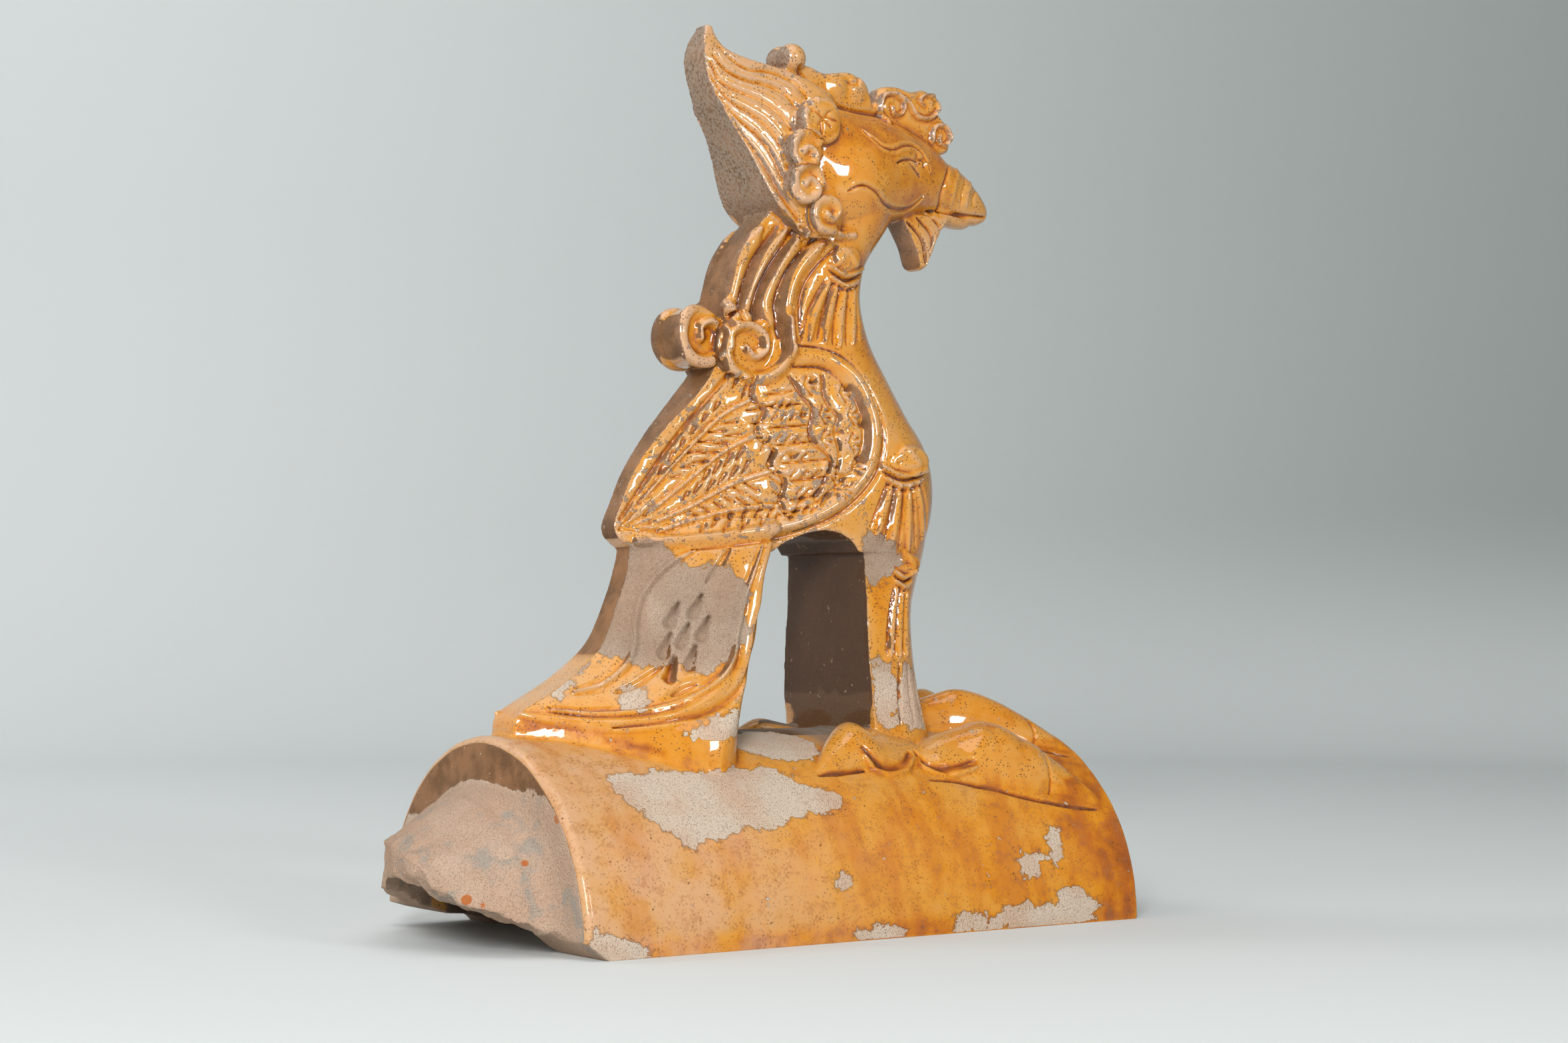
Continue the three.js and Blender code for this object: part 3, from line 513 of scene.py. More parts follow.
class Relief:
    # spots of the skin laid out flat at (u, v), and how far each is to move along its normal
    def __init__(self, index, facing, u, v):
        self.index, self.facing, self.x, self.z = index, facing, u, v
        self.move = np.zeros(len(index))

    def closeness(self, path, half):
        # 1 on the path, falling to 0 at its half width
        path = np.asarray(path, float)
        half = np.broadcast_to(np.asarray(half, float), len(path))
        low, high = path.min(0) - half.max(), path.max(0) + half.max()
        inside = np.nonzero((self.x > low[0]) & (self.x < high[0]) & (self.z > low[1]) & (self.z < high[1]))[0]
        x, z = self.x[inside], self.z[inside]
        nearest = np.full(len(inside), 9.0)
        for a, b, halfA, halfB in zip(path, path[1:], half, half[1:]):
            ab = b - a
            t = np.clip(((x - a[0]) * ab[0] + (z - a[1]) * ab[1]) / (ab @ ab + 1e-9), 0, 1)
            far = np.hypot(x - a[0] - t * ab[0], z - a[1] - t * ab[1])
            nearest = np.minimum(nearest, far / (halfA + (halfB - halfA) * t))
        return inside, np.clip(1 - nearest ** 2, 0, 1) ** 1.5

    def stroke(self, paths, half, height, taper=None):
        # a whole set of strokes at once, so that crossings get no deeper
        layer = np.zeros(len(self.index))
        for path in paths:
            path = smooth(path, 6 * (len(path) - 1)) if len(path) > 2 else smooth(path, 6)
            share = np.linspace(0, 1, len(path))
            widths = half * (taper(share) if taper else np.ones(len(path)))
            inside, value = self.closeness(path, widths)
            layer[inside] = np.maximum(layer[inside], value)
        self.move += height * layer * self.facing

    def dab(self, centres, radius, height):
        layer = np.zeros(len(self.index))
        for centre in centres:
            inside, value = self.closeness([centre, (centre[0] + 0.01, centre[1])], radius)
            layer[inside] = np.maximum(layer[inside], value)
        self.move += height * layer * self.facing


# how a stroke's width goes from its start to its end
def bothEnds(t):
    return 0.35 + 0.65 * np.sin(math.pi * np.clip(t, 0, 1)) ** 0.6


def toPoint(t):
    return 1.05 - 0.75 * t


def fromPoint(t):
    return 0.3 + 0.75 * t


def fromStart(t):
    return np.clip(0.35 + 4 * t, 0, 1)


def slimmer(t):
    return 1.1 - 0.3 * t


def halved(t):
    return 1.1 - 0.5 * t


def carve(skin, lines, cuts=None):
    # cuts say which lines, half width, height (below 0 it goes in), and how the width goes or "dab"
    for name, half, height, way in cuts or lines["cuts"]:
        drawn = lines[name]
        if way == "dab":
            skin.dab(drawn if np.ndim(drawn) == 2 else [drawn], half, height)
        else:
            skin.stroke(drawn if np.ndim(drawn[0]) == 2 else [drawn], half, height, way)


def midway(lines):
    # a line between each two that lie side by side
    return [[((a[0] + b[0]) / 2, (a[1] + b[1]) / 2) for a, b in zip(one, two)]
            for one, two in zip(lines, lines[1:])]


plumeCarving = {
    "grooves": [
        [(95, 326), (100, 321), (107, 318), (117, 318), (127, 315), (132, 309)],
        [(92, 322), (97, 317), (105, 314), (114, 313), (122, 310), (127, 303)],
        [(91, 319), (95, 312), (103, 309), (112, 306), (119, 301), (124, 294)],
        [(91, 314), (98, 305), (106, 301), (114, 295), (118, 288), (120, 281)],
        [(93, 308), (100, 299), (109, 292), (114, 285), (117, 278), (121, 271)],
        [(96, 302), (101, 294), (108, 285), (113, 277), (118, 269), (124, 262)],
    ],
    "rim": [(100, 290), (106, 281), (111.5, 272), (120, 262)],
    "cuts": [("grooves", 1.4, -1.2, fromPoint), ("strands", 2.3, 0.6, bothEnds),
             ("strands", 0.8, -0.45, bothEnds), ("rim", 2.8, 1.2, bothEnds)],
}
plumeCarving["strands"] = midway(plumeCarving["grooves"])


faceCarving = {
    "brow": [(153, 299), (158, 295.5), (162, 293), (168, 292.8), (174, 295), (180, 296), (185, 294), (188, 290.5),
             (189.5, 287)],
    "lids": [[(169, 287.5), (173, 289.3), (178, 290.3), (184, 289.5)], [(176.5, 289), (180, 287), (183.5, 284)]],
    "lashes": [[(182, 293), (182, 288.5)], [(186, 292), (186, 288.5)], [(181.5, 291), (186.5, 291)]],
    "temple": [(147, 306), (159, 305.5), (172, 305.5), (184, 302), (195, 298.5)],
    "smile": [(144, 274.5), (149.5, 277), (156, 275.5), (161, 272.5), (167, 270.8), (175, 271), (182, 273),
              (188, 278)],
    "beakBase": [(205, 294), (200.5, 287), (198, 280), (200.5, 273)],
    "beakBands": [[(211, 292), (207, 286), (205, 280), (206, 275)], [(217.5, 287.5), (213.5, 281.5), (213, 276)]],
    "beakCuts": [[(214.5, 289), (210.5, 283), (210, 277)], [(221, 285), (217, 280.5), (217, 277)]],
    "gape": [(194, 273.2), (205, 273.4), (216, 272.8), (226, 273.6)],
    "cheek": (152, 278),
    "cuts": [("cheek", 20, 2.4, "dab"), ("brow", 2.8, 0.7, bothEnds), ("brow", 1.1, -1.2, bothEnds),
             ("lids", 1.0, -1.2, bothEnds), ("lashes", 0.9, -1.0, None), ("temple", 1.6, -0.7, bothEnds),
             ("smile", 3.2, 0.5, bothEnds), ("smile", 1.3, -1.4, bothEnds), ("beakBase", 1.2, -1.1, None),
             ("beakBands", 1.8, 0.5, bothEnds), ("beakCuts", 0.9, -0.6, bothEnds), ("gape", 1.1, -1.6, bothEnds)],
}
curlCarving = {
    "knob": [(127, 305.5), (124, 300), (127, 294.5), (134, 292.3), (140, 296), (141, 302), (136, 307),
             (130, 307.3)],
    "knobCuts": [[(128, 303), (136, 297)], [(129, 297), (135, 303.5)], [(133, 301), (139, 300)],
                 [(131, 299), (131, 294)]],
    "cords": [
        [(130.5, 291.5), (128, 294.6), (123, 294.2), (119, 290), (119, 284.8), (123, 281.8), (127.5, 283.3),
         (128, 287), (125, 289), (122.8, 287)],
        [(131, 276), (128.5, 280.8), (124, 281.8), (119.6, 278), (119.6, 272.8), (123.4, 269.6), (128, 271),
         (129, 274.6), (126, 277), (123.4, 275)],
        [(150, 258.5), (144, 257.8), (137.5, 258.5), (131, 259.5), (128.4, 264), (130.4, 268.6), (135.4, 269.6),
         (138.8, 266.4), (136.5, 263), (133.4, 264.4)],
    ],
    "eye": (6.5, -1.2), "cord": (1.95, 2.1),
    "cuts": [("knob", 1.6, 0.9, None), ("knobCuts", 1.1, -0.9, bothEnds)],
}


def carveCurls(flank):
    carve(flank, curlCarving)
    for cord in curlCarving["cords"]:
        flank.dab([cord[-2]], *curlCarving["eye"])
        flank.stroke([cord], *curlCarving["cord"])


combCarving = {
    "curls": [
        [(175, 306.5), (172, 311), (173.5, 316.5), (179, 318), (183.5, 315), (182.5, 310.5), (178.7, 310),
         (178, 313)],
        [(180, 318), (186, 315), (190, 310.5), (196, 310), (200.5, 313.5), (200, 318.5), (194.5, 319.3),
         (191.5, 316.5), (194, 314.8)],
        [(197.5, 301.5), (198.5, 306.5), (203.5, 308), (206.5, 304), (204.3, 300.3), (200.8, 301.3),
         (202, 304.3)],
    ],
    "ridgeLine": [(132, 322), (136, 318), (142, 313), (150, 310), (160, 308.5), (173, 309)],
    "lobes": [(151, 317.5), (160.5, 317)],
    "lobeCurl": [(153, 323), (157, 325), (161, 322.5), (160, 319), (156.5, 319.3)],
    "folds": [[(184, 268), (191.5, 262), (193.5, 252)], [(189, 270), (196.5, 263.5), (195.5, 253)],
              [(195, 272), (201.5, 266), (199.5, 258)]],
    "cuts": [("curls", 3.1, -0.9, None), ("curls", 1.5, 2.4, toPoint), ("ridgeLine", 1.6, -1.5, None),
             ("lobes", 6, 1.6, "dab"), ("lobeCurl", 1.2, -1.1, None), ("folds", 1.2, -1.7, bothEnds)],
}


neckCarving = {
    "ribs": [
        ([(113, 259), (104.5, 247), (100.5, 235), (98, 224)], 3.6),
        ([(122.5, 259), (112.5, 246), (106.5, 233), (104.5, 226)], 3.0),
        ([(128, 258), (118.5, 244), (112.5, 231), (113.5, 224)], 4.2),
        ([(138, 256), (127.5, 245), (122.5, 234), (121, 222), (121.5, 214)], 3.6),
    ],
    "grooves": [[(119, 260), (109, 247), (103, 234), (101.5, 225)],
                [(133.5, 256), (123, 245), (117.5, 235), (116.5, 226), (117.5, 218)]],
    "valley": [(125.5, 258), (116.5, 246), (109.5, 234), (108, 226)],
    "edge": [(143, 254), (132.5, 243), (127.5, 233), (126.5, 219)],
    "rearHollow": (89, 217), "frontHollow": [(104, 213), (103, 217)],
    "cords": [
        [(101, 226), (95, 229.5), (86, 229.3), (79.5, 223.5), (78.5, 215), (83, 209), (90, 208.3), (95.5, 212.5),
         (95.5, 219), (91, 222.6), (86.3, 220.5), (86.5, 216.3)],
        [(121.3, 224), (120.6, 211), (114, 203.8), (105.5, 202), (97.5, 205), (94.5, 212), (97, 219),
         (103.5, 221.8), (109.8, 219), (111, 213.2), (106.5, 210), (102.8, 213)],
    ],
    "ribRise": 2.5,
    "cuts": [("grooves", 1.3, -1.3, None), ("valley", 2.4, -2.2, None), ("edge", 1.5, -1.3, bothEnds),
             ("rearHollow", 11, -1.3, "dab"), ("frontHollow", 14, -2.2, "dab"), ("cords", 2.75, 3.1, slimmer)],
}


def carveNeck(flank):
    for path, half in neckCarving["ribs"]:
        flank.stroke([path], half, neckCarving["ribRise"], fromStart)
    carve(flank, neckCarving)


tasselCuts = [("threads", 2.0, 1.1, bothEnds), ("grooves", 0.9, -0.8, bothEnds), ("brims", 1.5, 1.4, bothEnds),
              ("underBrims", 1.0, -0.9, bothEnds), ("bell", 2.0, 0.7, None)]
tasselCarving = [
    {"bell": [(147, 252), (142, 245.5), (152, 245.5), (147, 252)],
     "brims": [[(139.5, 246.5), (147, 243), (158, 247)], [(141, 242), (148, 239.5), (156, 242.5)]],
     "grooves": [[(138, 241), (130, 228), (126, 216)], [(141.5, 240), (136, 227), (133, 218)],
                 [(145, 239), (141, 226), (139, 216)], [(150, 238.5), (147, 226), (145, 216)],
                 [(155, 240), (154, 227), (151.5, 218)]]},
    {"bell": [(166, 178), (161, 171), (172, 171), (166, 178)],
     "brims": [[(155.5, 170.5), (165, 167.3), (178, 170.5)], [(157, 166), (165, 163.6), (176, 166.5)]],
     "grooves": [[(157.5, 164), (153, 154), (150.5, 147)], [(161, 163), (158.5, 151), (156.5, 142)],
                 [(165, 163), (164, 150), (163, 139)], [(169.5, 164), (171, 151), (173, 140)],
                 [(174, 166), (179, 156), (181, 147)]]},
    {"bell": [(167, 138), (164, 133), (170, 133), (167, 138)],
     "brims": [[(161, 131.5), (166, 129), (172, 132)], [(162, 127.5), (167, 125.6), (171, 128)]],
     "grooves": [[(161, 125), (158.5, 113), (157, 100)], [(164, 125), (162, 113), (160.5, 99)],
                 [(167, 125), (166, 113), (165.5, 99)], [(170, 125), (169.5, 113), (169, 100)]]},
]


def carveTassels(flank):
    for tassel in tasselCarving:
        tassel["threads"] = midway(tassel["grooves"])
        tassel["underBrims"] = [[(x, z - 2) for x, z in brim] for brim in tassel["brims"]]
        carve(flank, tassel, tasselCuts)


wingCarving = {
    "rim": [(124, 211), (136, 210.5), (146, 204), (151, 193), (152.5, 182), (149, 169), (139, 158), (128, 151.5),
            (114, 147), (96, 144), (76, 141.5), (60, 141)],
    "rimOuter": [(122, 215.5), (136, 214), (147, 208), (154.5, 195), (156.5, 183), (153.5, 168), (143, 156),
                 (130, 148.5), (116, 143.5), (97, 140.5), (78, 138)],
    "rimInner": [(122, 207), (133, 207), (141, 202), (146, 194), (148, 183), (145, 171.5), (136, 162), (126, 155),
                 (114, 151.5)],
    "backLine": [(54, 149), (68, 169), (82, 187), (97, 203.5)],
    "hub": (53, 145),
    "quills": [[(62, 156), (76, 171), (92, 187), (104, 194)], [(64, 151), (80, 164), (94, 175), (107, 181.5)],
               [(66, 148), (80, 154), (96, 162.5), (112, 168)], [(68, 145), (80, 149), (97, 153), (114, 155)]],
    "covertEdge": [(106, 202), (104.5, 195), (109, 190), (105.5, 184), (107, 179.5), (112, 176), (110.5, 169),
                   (116, 164), (114, 156), (118, 150)],
    "bars": [[(110, 196), (121, 198)], [(109, 191.5), (123, 193)], [(110, 183.5), (125, 185)],
             [(112, 177), (128, 179)], [(115, 170.5), (133, 172.5)], [(118, 164), (132, 166)],
             [(118, 157), (129, 159)]],
    "scaleEdges": [[(120, 203), (124, 196), (127.5, 191), (126, 184), (127, 179), (134, 173), (132, 165),
                    (128, 158)],
                   [(133, 204), (133, 195), (137.5, 188.5), (136, 183), (138, 175), (137, 168), (136, 159)]],
    "scales": [(126, 200), (131, 189), (131.5, 180), (140, 197.5), (142.5, 189), (142.5, 179), (143.5, 170),
               (134, 168), (138, 161)],
    "pits": [(129, 202), (142.5, 199.5), (138, 183), (147, 186), (146, 173), (138.5, 166), (124, 189),
             (119, 174)],
    "cuts": [("rim", 3.9, 2.3, halved), ("rimOuter", 1.5, -1.1, bothEnds), ("rimInner", 1.4, -1.1, bothEnds),
             ("backLine", 1.3, -1.5, None), ("quills", 2.3, -1.1, None), ("quills", 1.1, 1.8, None),
             ("stems", 1.5, -1.2, fromPoint), ("barbs", 1.25, -1.3, fromPoint), ("covertEdge", 1.3, -1.6, None),
             ("bars", 1.0, -1.2, bothEnds), ("feathers", 2.4, 0.9, bothEnds), ("dashes", 0.9, -1.1, None),
             ("scaleEdges", 1.1, -1.3, None), ("scales", 4.6, 1.6, "dab"), ("rays", 0.9, -1.4, None),
             ("pits", 2.2, -2.0, "dab")],
    "barbSlants": [62, 8, 58, -30, 52], "barbStep": 0.115, "barbReach": 2.9,
    "narrowGap": 4.6, "wideGap": 9.5, "rayLength": 3.6,
}


def barbsOf(c):
    # slanting barbs between the quills, pressed with the end of a tool
    lines = [smooth(path, 10) for path in [c["backLine"]] + c["quills"] + [c["rim"][::-1][:6]]]
    barbs = []
    for upper, lower, slant in zip(lines, lines[1:], c["barbSlants"]):
        for share in np.arange(0.26, 0.99, c["barbStep"]):
            a = upper[int(round(share * 10))]
            b = lower[int(round(share * 10))]
            gap = np.linalg.norm(a - b)
            if gap < c["narrowGap"]:
                continue
            reach = min(0.24 * gap, c["barbReach"])
            lean = np.array([math.cos(math.radians(slant)), math.sin(math.radians(slant))]) * reach
            for across in ((0.5,) if gap < c["wideGap"] else (0.3, 0.7)):
                spot = a + (b - a) * across
                barbs.append([spot - lean, spot + lean])
    return barbs


def carveWing(flank):
    c = wingCarving
    c["stems"] = [[c["hub"], quill[0]] for quill in c["quills"]]
    c["barbs"] = barbsOf(c)
    c["feathers"] = [[(x, z - 3.4) for x, z in bar] for bar in c["bars"]]
    c["dashes"] = [[(x0 + share * (x1 - x0), z0 - 4.6), (x0 + share * (x1 - x0) + 2, z0 - 2.4)]
                   for (x0, z0), (x1, _) in c["bars"] for share in (0.2, 0.45, 0.7)]
    ray = c["rayLength"]
    c["rays"] = [[(x - 1, z), (x + ray * math.cos(a), z + ray * math.sin(a))] for x, z in c["scales"]
                 for a in (-1.1, -0.3, 0.5, 1.3)]
    carve(flank, c)


tailCarving = {
    "cords": [
        [(79, 138), (69, 132), (60.5, 122), (57, 112), (55, 103), (50, 96), (40, 89.5), (30, 87)],
        [(103, 140), (98, 130), (94, 120), (90, 108), (86, 97), (75, 88), (56, 81.5), (36, 79.5), (20, 81)],
    ],
    "outer": [(109, 138), (103, 122), (98, 110), (94, 97), (87, 88), (74, 81), (55, 76.5), (38, 74.5)],
    "short": [[(91, 139), (86, 132), (81, 126)], [(62, 96), (52, 90), (44, 87)], [(72, 90), (62, 86)]],
    "foot": [(10, 79.5), (20, 77.5), (36, 76), (53, 77), (68, 82), (81, 90), (89, 103)],
    "slotSpots": [(69.5, 115), (77.5, 118), (79, 110), (72, 107.5), (65.5, 104), (73, 99.5), (65, 95.5)],
    "cuts": [("cords", 3.6, -0.8, bothEnds), ("cords", 1.5, 1.8, bothEnds), ("outer", 1.5, -1.3, bothEnds),
             ("short", 1.5, -1.3, bothEnds), ("foot", 3.4, 1.2, bothEnds), ("slots", 2.4, -2.6, toPoint)],
}
tailCarving["slots"] = [[(x - 1.9, z - 3.6), (x + 2.1, z + 4)] for x, z in tailCarving["slotSpots"]]


legCarving = {"flutes": [[(163, 97), (162, 84), (162, 74)], [(168, 96), (168, 84), (169, 74)],
                         [(173, 92), (174, 82), (176, 74)]],
              "cuts": [("flutes", 1.2, -1.2, bothEnds)]}
toeCarving = {  # unrolled from the tile's crown, x and arc
    "under": [[(162, 52.5), (172, 53.5), (180, 56), (189, 58.3), (197, 61.4), (209, 65), (221, 68), (233, 69.8)],
              [(113, 48), (120, 47.6), (128, 47), (135, 46.4)], [(214, 33), (226, 37), (236, 42)]],
    "rolls": [[(163, 40.5), (163.5, 46), (168.5, 50), (176, 51), (184, 50)], [(136, 42), (140, 46), (145.5, 48.7),
              (154, 46.8), (160, 41.5)]],
    "claws": [[(224, 33), (218.5, 45), (216, 56), (213.5, 62)], [(227, 24), (226.5, 31), (222, 36)]],
    "knuckles": [(203, 41), (213, 47), (190, 40)],
    "cuts": [("under", 1.4, -1.2, bothEnds), ("rolls", 1.8, 1.0, bothEnds), ("behindRolls", 1.7, -0.9, bothEnds),
             ("claws", 1.1, -0.6, bothEnds), ("knuckles", 9, 1.3, "dab")],
}
toeCarving["behindRolls"] = [[(x, arc - 3.2) for x, arc in roll] for roll in toeCarving["rolls"]]


spots, normals = readSkin(ornament)
outward = normals[:, 1] * np.sign(spots[:, 1])
sides = np.nonzero((outward > 0.12) & (spots[:, 2] > 70))[0]
flank = Relief(sides, ease(0.12, 0.45, outward[sides]), spots[sides, 0], spots[sides, 2])
out = np.hypot(spots[:, 1], spots[:, 2])
upward = (normals[:, 1] * spots[:, 1] + normals[:, 2] * spots[:, 2]) / (out + 1e-6)
above = np.nonzero((upward > 0.2) & (out > 68) & (out < 92) & (spots[:, 0] > 100))[0]
top = Relief(above, ease(0.2, 0.5, upward[above]), spots[above, 0],
             tile["radius"] * np.arctan2(np.abs(spots[above, 1]), spots[above, 2]))
carve(flank, plumeCarving)
carve(flank, faceCarving)
carveCurls(flank)
carve(flank, combCarving)
carveNeck(flank)
carveTassels(flank)
carveWing(flank)
carve(flank, tailCarving)
carve(flank, legCarving)
carve(top, toeCarving)
moves = np.zeros(len(spots))
moves[flank.index] = flank.move
moves[top.index] += top.move
spots += normals * moves[:, None]
writeSkin(ornament, spots)
finishWith(ornament, "SMOOTH", factor=0.5, iterations=1)
print("carved the feathers, scrolls, face and toes")


# Hand-made unevenness, and the torn clay of the tongue

spots, normals = readSkin(ornament)
out = np.hypot(spots[:, 1], spots[:, 2])
onTongue = ease(2, -4, spots[:, 0])
tornEnd = ease(-22, -31, spots[:, 0]) + onTongue * ease(0.2, -0.4, normals[:, 2]) * (out > 20)
uneven = 0.2 * grain(spots, 19, 1) + 0.1 * grain(spots, 6, 2)
torn = np.clip(tornEnd, 0, 1) * (1.0 * grain(spots, 7, 3) + 0.6 * grain(spots, 3, 4) + 0.3 * grain(spots, 1.5, 5))
still = (spots[:, 2] < 0.6) | ((out < tile["radius"] - 10) & (spots[:, 0] > 0) & (spots[:, 2] < 60))
spots += normals * np.where(still, 0, uneven + torn)[:, None]
writeSkin(ornament, spots)

links = np.empty(len(ornament.data.edges) * 2, np.int64)
ornament.data.edges.foreach_get("vertices", links)
links = links.reshape(-1, 2)
spots, normals = readSkin(ornament)
near = blur(spots, links, 7)
far = blur(near, links, 40)
for name, level in (("groove", near), ("hollow", far)):
    depth = np.sum((level - spots) * normals, 1)
    ornament.data.attributes.new(name, "FLOAT", "POINT").data.foreach_set("value", depth)
    print(name, [round(float(v), 2) for v in np.percentile(depth, (1, 10, 50, 90, 99))])

ratio = finish["triangles"] / (2 * len(ornament.data.polygons))
finishWith(ornament, "DECIMATE", ratio=ratio, use_collapse_triangulate=True)
print("thinned to", len(ornament.data.polygons), "triangles")


# What the glaze does from place to place, kept on the skin as attributes: bare is how far (mm) inside a flaked
# patch, rich how thickly the glaze lies (on the tile also a painted falloff of light), one mask a painted shade
# in the archway, another the dull back bands with a painted shade on the recessed end, and the others run from 0
# to about 1

flaked = {
    "flank": [  # outlines in the side view, x and z
        [(148, 147), (154, 144), (161, 142), (164, 137), (160, 131), (156, 127), (151, 124), (149, 133),
         (146, 141)],
        [(151, 99), (156, 97), (159.5, 91), (160, 80), (160.5, 73), (154, 72), (151, 83)],
        [(164, 95), (169, 96), (174, 90), (176.5, 84), (176, 72), (163, 72), (162, 86)],
        [(52, 133), (57, 140), (68, 140), (76, 131), (82, 133), (90, 131), (96, 124), (92, 116), (96, 109),
         (91, 103), (85, 100), (80, 94), (72, 94), (66, 98), (60, 95), (52, 98), (43, 101), (43, 108), (46, 116), (49, 125)],
        [(39, 96), (33, 93), (27, 86), (22, 86), (28, 93), (36, 99)],
        [(43, 84), (48, 89), (54, 88), (53, 83), (47, 80)],
        [(60, 71), (68, 76), (76, 79), (82, 80), (79, 70), (66, 66)],
    ],
    "tile": [  # outlines unrolled from the tile's crown towards the camera's side, x and arc
        [(28, 43), (25, 50), (31, 60), (38, 68), (46, 77), (53, 73), (61, 74), (72, 70), (82, 71), (95, 66),
         (108, 65), (119, 60), (112, 55), (104, 53), (99, 46), (93, 42), (84, 44), (78, 42), (64, 45), (50, 42), (38, 44)],
        [(103, 94), (107, 96), (110, 92), (106, 89)],
        [(186, 92), (193, 96), (197, 89), (190, 85)],
        [(110, 113), (113, 107), (121, 110), (129, 108), (133, 113)],
        [(152, 113), (154, 107), (161, 106), (168, 108), (170, 113)],
        [(174, 113), (177, 106), (188, 104), (199, 106), (206, 103), (214, 100), (221, 106), (219, 113)],
        [(200, 113), (201.5, 103), (208, 100), (209, 113)],
        [(203, 88), (204, 80), (209, 76), (209, 92)],
        [(0, 113), (4, 103), (10, 106), (22, 110), (26, 113)],
        [(94, 20), (90, 30), (96, 36), (110, 39), (121, 34), (124, 24), (118, 12), (104, 10)],
        [(40, -64), (48, -52), (62, -50), (74, -56), (90, -52), (99, -60), (88, -71), (66, -74), (50, -72)],
        [(150, -92), (160, -84), (176, -86), (181, -95), (166, -101)],
        [(0, -114), (6, -104), (24, -106), (40, -111), (60, -114)],
    ],
    "farFlank": [
        [(70, 120), (84, 124), (92, 112), (84, 100), (70, 98), (60, 106)],
        [(152, 96), (159, 94), (160, 78), (153, 75)],
    ],
}


def insideBy(outline, x, y):
    # signed distance to an outline, positive inside
    points = smooth(outline, 4 * len(outline), closed=True)
    nearest = np.full(len(x), 1e9)
    inside = np.zeros(len(x), bool)
    for a, b in zip(points, np.roll(points, -1, 0)):
        ab = b - a
        t = np.clip(((x - a[0]) * ab[0] + (y - a[1]) * ab[1]) / (ab @ ab + 1e-9), 0, 1)
        nearest = np.minimum(nearest, (x - a[0] - t * ab[0]) ** 2 + (y - a[1] - t * ab[1]) ** 2)
        crossing = (a[1] > y) != (b[1] > y)
        inside ^= crossing & (x < a[0] + (y - a[1]) * ab[0] / (ab[1] if ab[1] else 1e-9))
    return np.where(inside, 1, -1) * np.sqrt(nearest)


farAway = 9.0


def depthInside(outlines, x, y):
    depths = [insideBy(outline, x, y) for outline in outlines]
    return np.clip(np.max(depths, axis=0), -farAway, farAway)


def note(piece, name, values):
    piece.data.attributes.new(name, "FLOAT", "POINT").data.foreach_set("value", values)


spots, normals = readSkin(ornament)
x, y, z = spots.T
out = np.hypot(y, z)
arc = tile["radius"] * np.arctan2(-y, z)
onTile = (np.abs(out - tile["radius"]) < 2.5) & (x > -0.5)
onBird = ~onTile & (z > 70)
bare = np.full(len(spots), -farAway)
bare[onTile] = depthInside(flaked["tile"], x[onTile], arc[onTile])
turnedAway = ease(-0.35, 0.1, normals[:, 1] * np.where(y < 0, 1, -1))
for outlines, there in (("flank", onBird & (y < 0)), ("farFlank", onBird & (y >= 0))):
    bare[there] = depthInside(flaked[outlines], x[there], z[there]) - farAway * turnedAway[there]

under = ease(0.5, 0.9, -normals[:, 2]) * (z < 40)
channel = ease(66, 62, out) * (z < 60) * (x > 6)
face = ease(-0.6, -0.9, normals[:, 0]) * (x < 7) * ease(70.5, 68.5, out)  # the recessed end round the tongue
tongue = ease(2, -3, x) * ease(62, 54, out)
lowFace = face * ease(52, 30, z - 12 * ease(10, -30, y))
clayShare = np.clip(under + channel + tongue + lowFace + ease(-2, -6, x), 0, 1)
backwards = ease(0.5, 0.8, -normals[:, 0]) * (z > 84)
# the back bands get a dull brown glaze; the recessed end round the tongue gets the same brown as painted shade of
# the recess, with some dirt
dullAndShadedShare = np.clip(backwards + face, 0, 1)
archEdge = insideBy(archway, x, z)
# painted shade: the archway's inner faces under the body are darkened as if in shadow
shade = ease(-3.6, -2.8, archEdge) * (z > 70) * (out > 71) * ease(0.8, 0.5, np.abs(normals[:, 1]))
shade *= np.abs(y) < 26 + 40 * ease(80, 84, z)

# how thickly the glaze lies: golden on the face, breast, legs and toes, thin on the plume and wing
side = np.abs(y)
onFace = ease(1.15, 0.85, np.hypot((x - 168) / 39, (z - 284) / 25)) * (side > 4)
breast = ease(0.0, 0.6, normals[:, 0]) * (z > 84) * (z < 262)
throat = ease(117, 128, x) * ease(256, 246, z) * (z > 205)
legsFront = ease(146, 156, x) * (z < 170) * (z > 72)
tailFoot = ease(86, 78, z) * (x < 97) * (out > 73.5)
onToes = ease(73, 76, out) * (x > 110) * (z < 90)
onPlume = ease(262, 272, z) * ease(134, 122, x)
onCrest = ease(308, 313, z)
onWing = ease(138, 146, z) * ease(208, 200, z) * ease(156, 150, x)
golden = onFace + 0.9 * breast + 0.8 * throat + 0.8 * legsFront + tailFoot + 0.35 * onToes
rich = 0.62 + 0.34 * np.clip(golden, 0, 1)
rich -= 0.26 * onPlume + 0.08 * onCrest + 0.04 * onWing
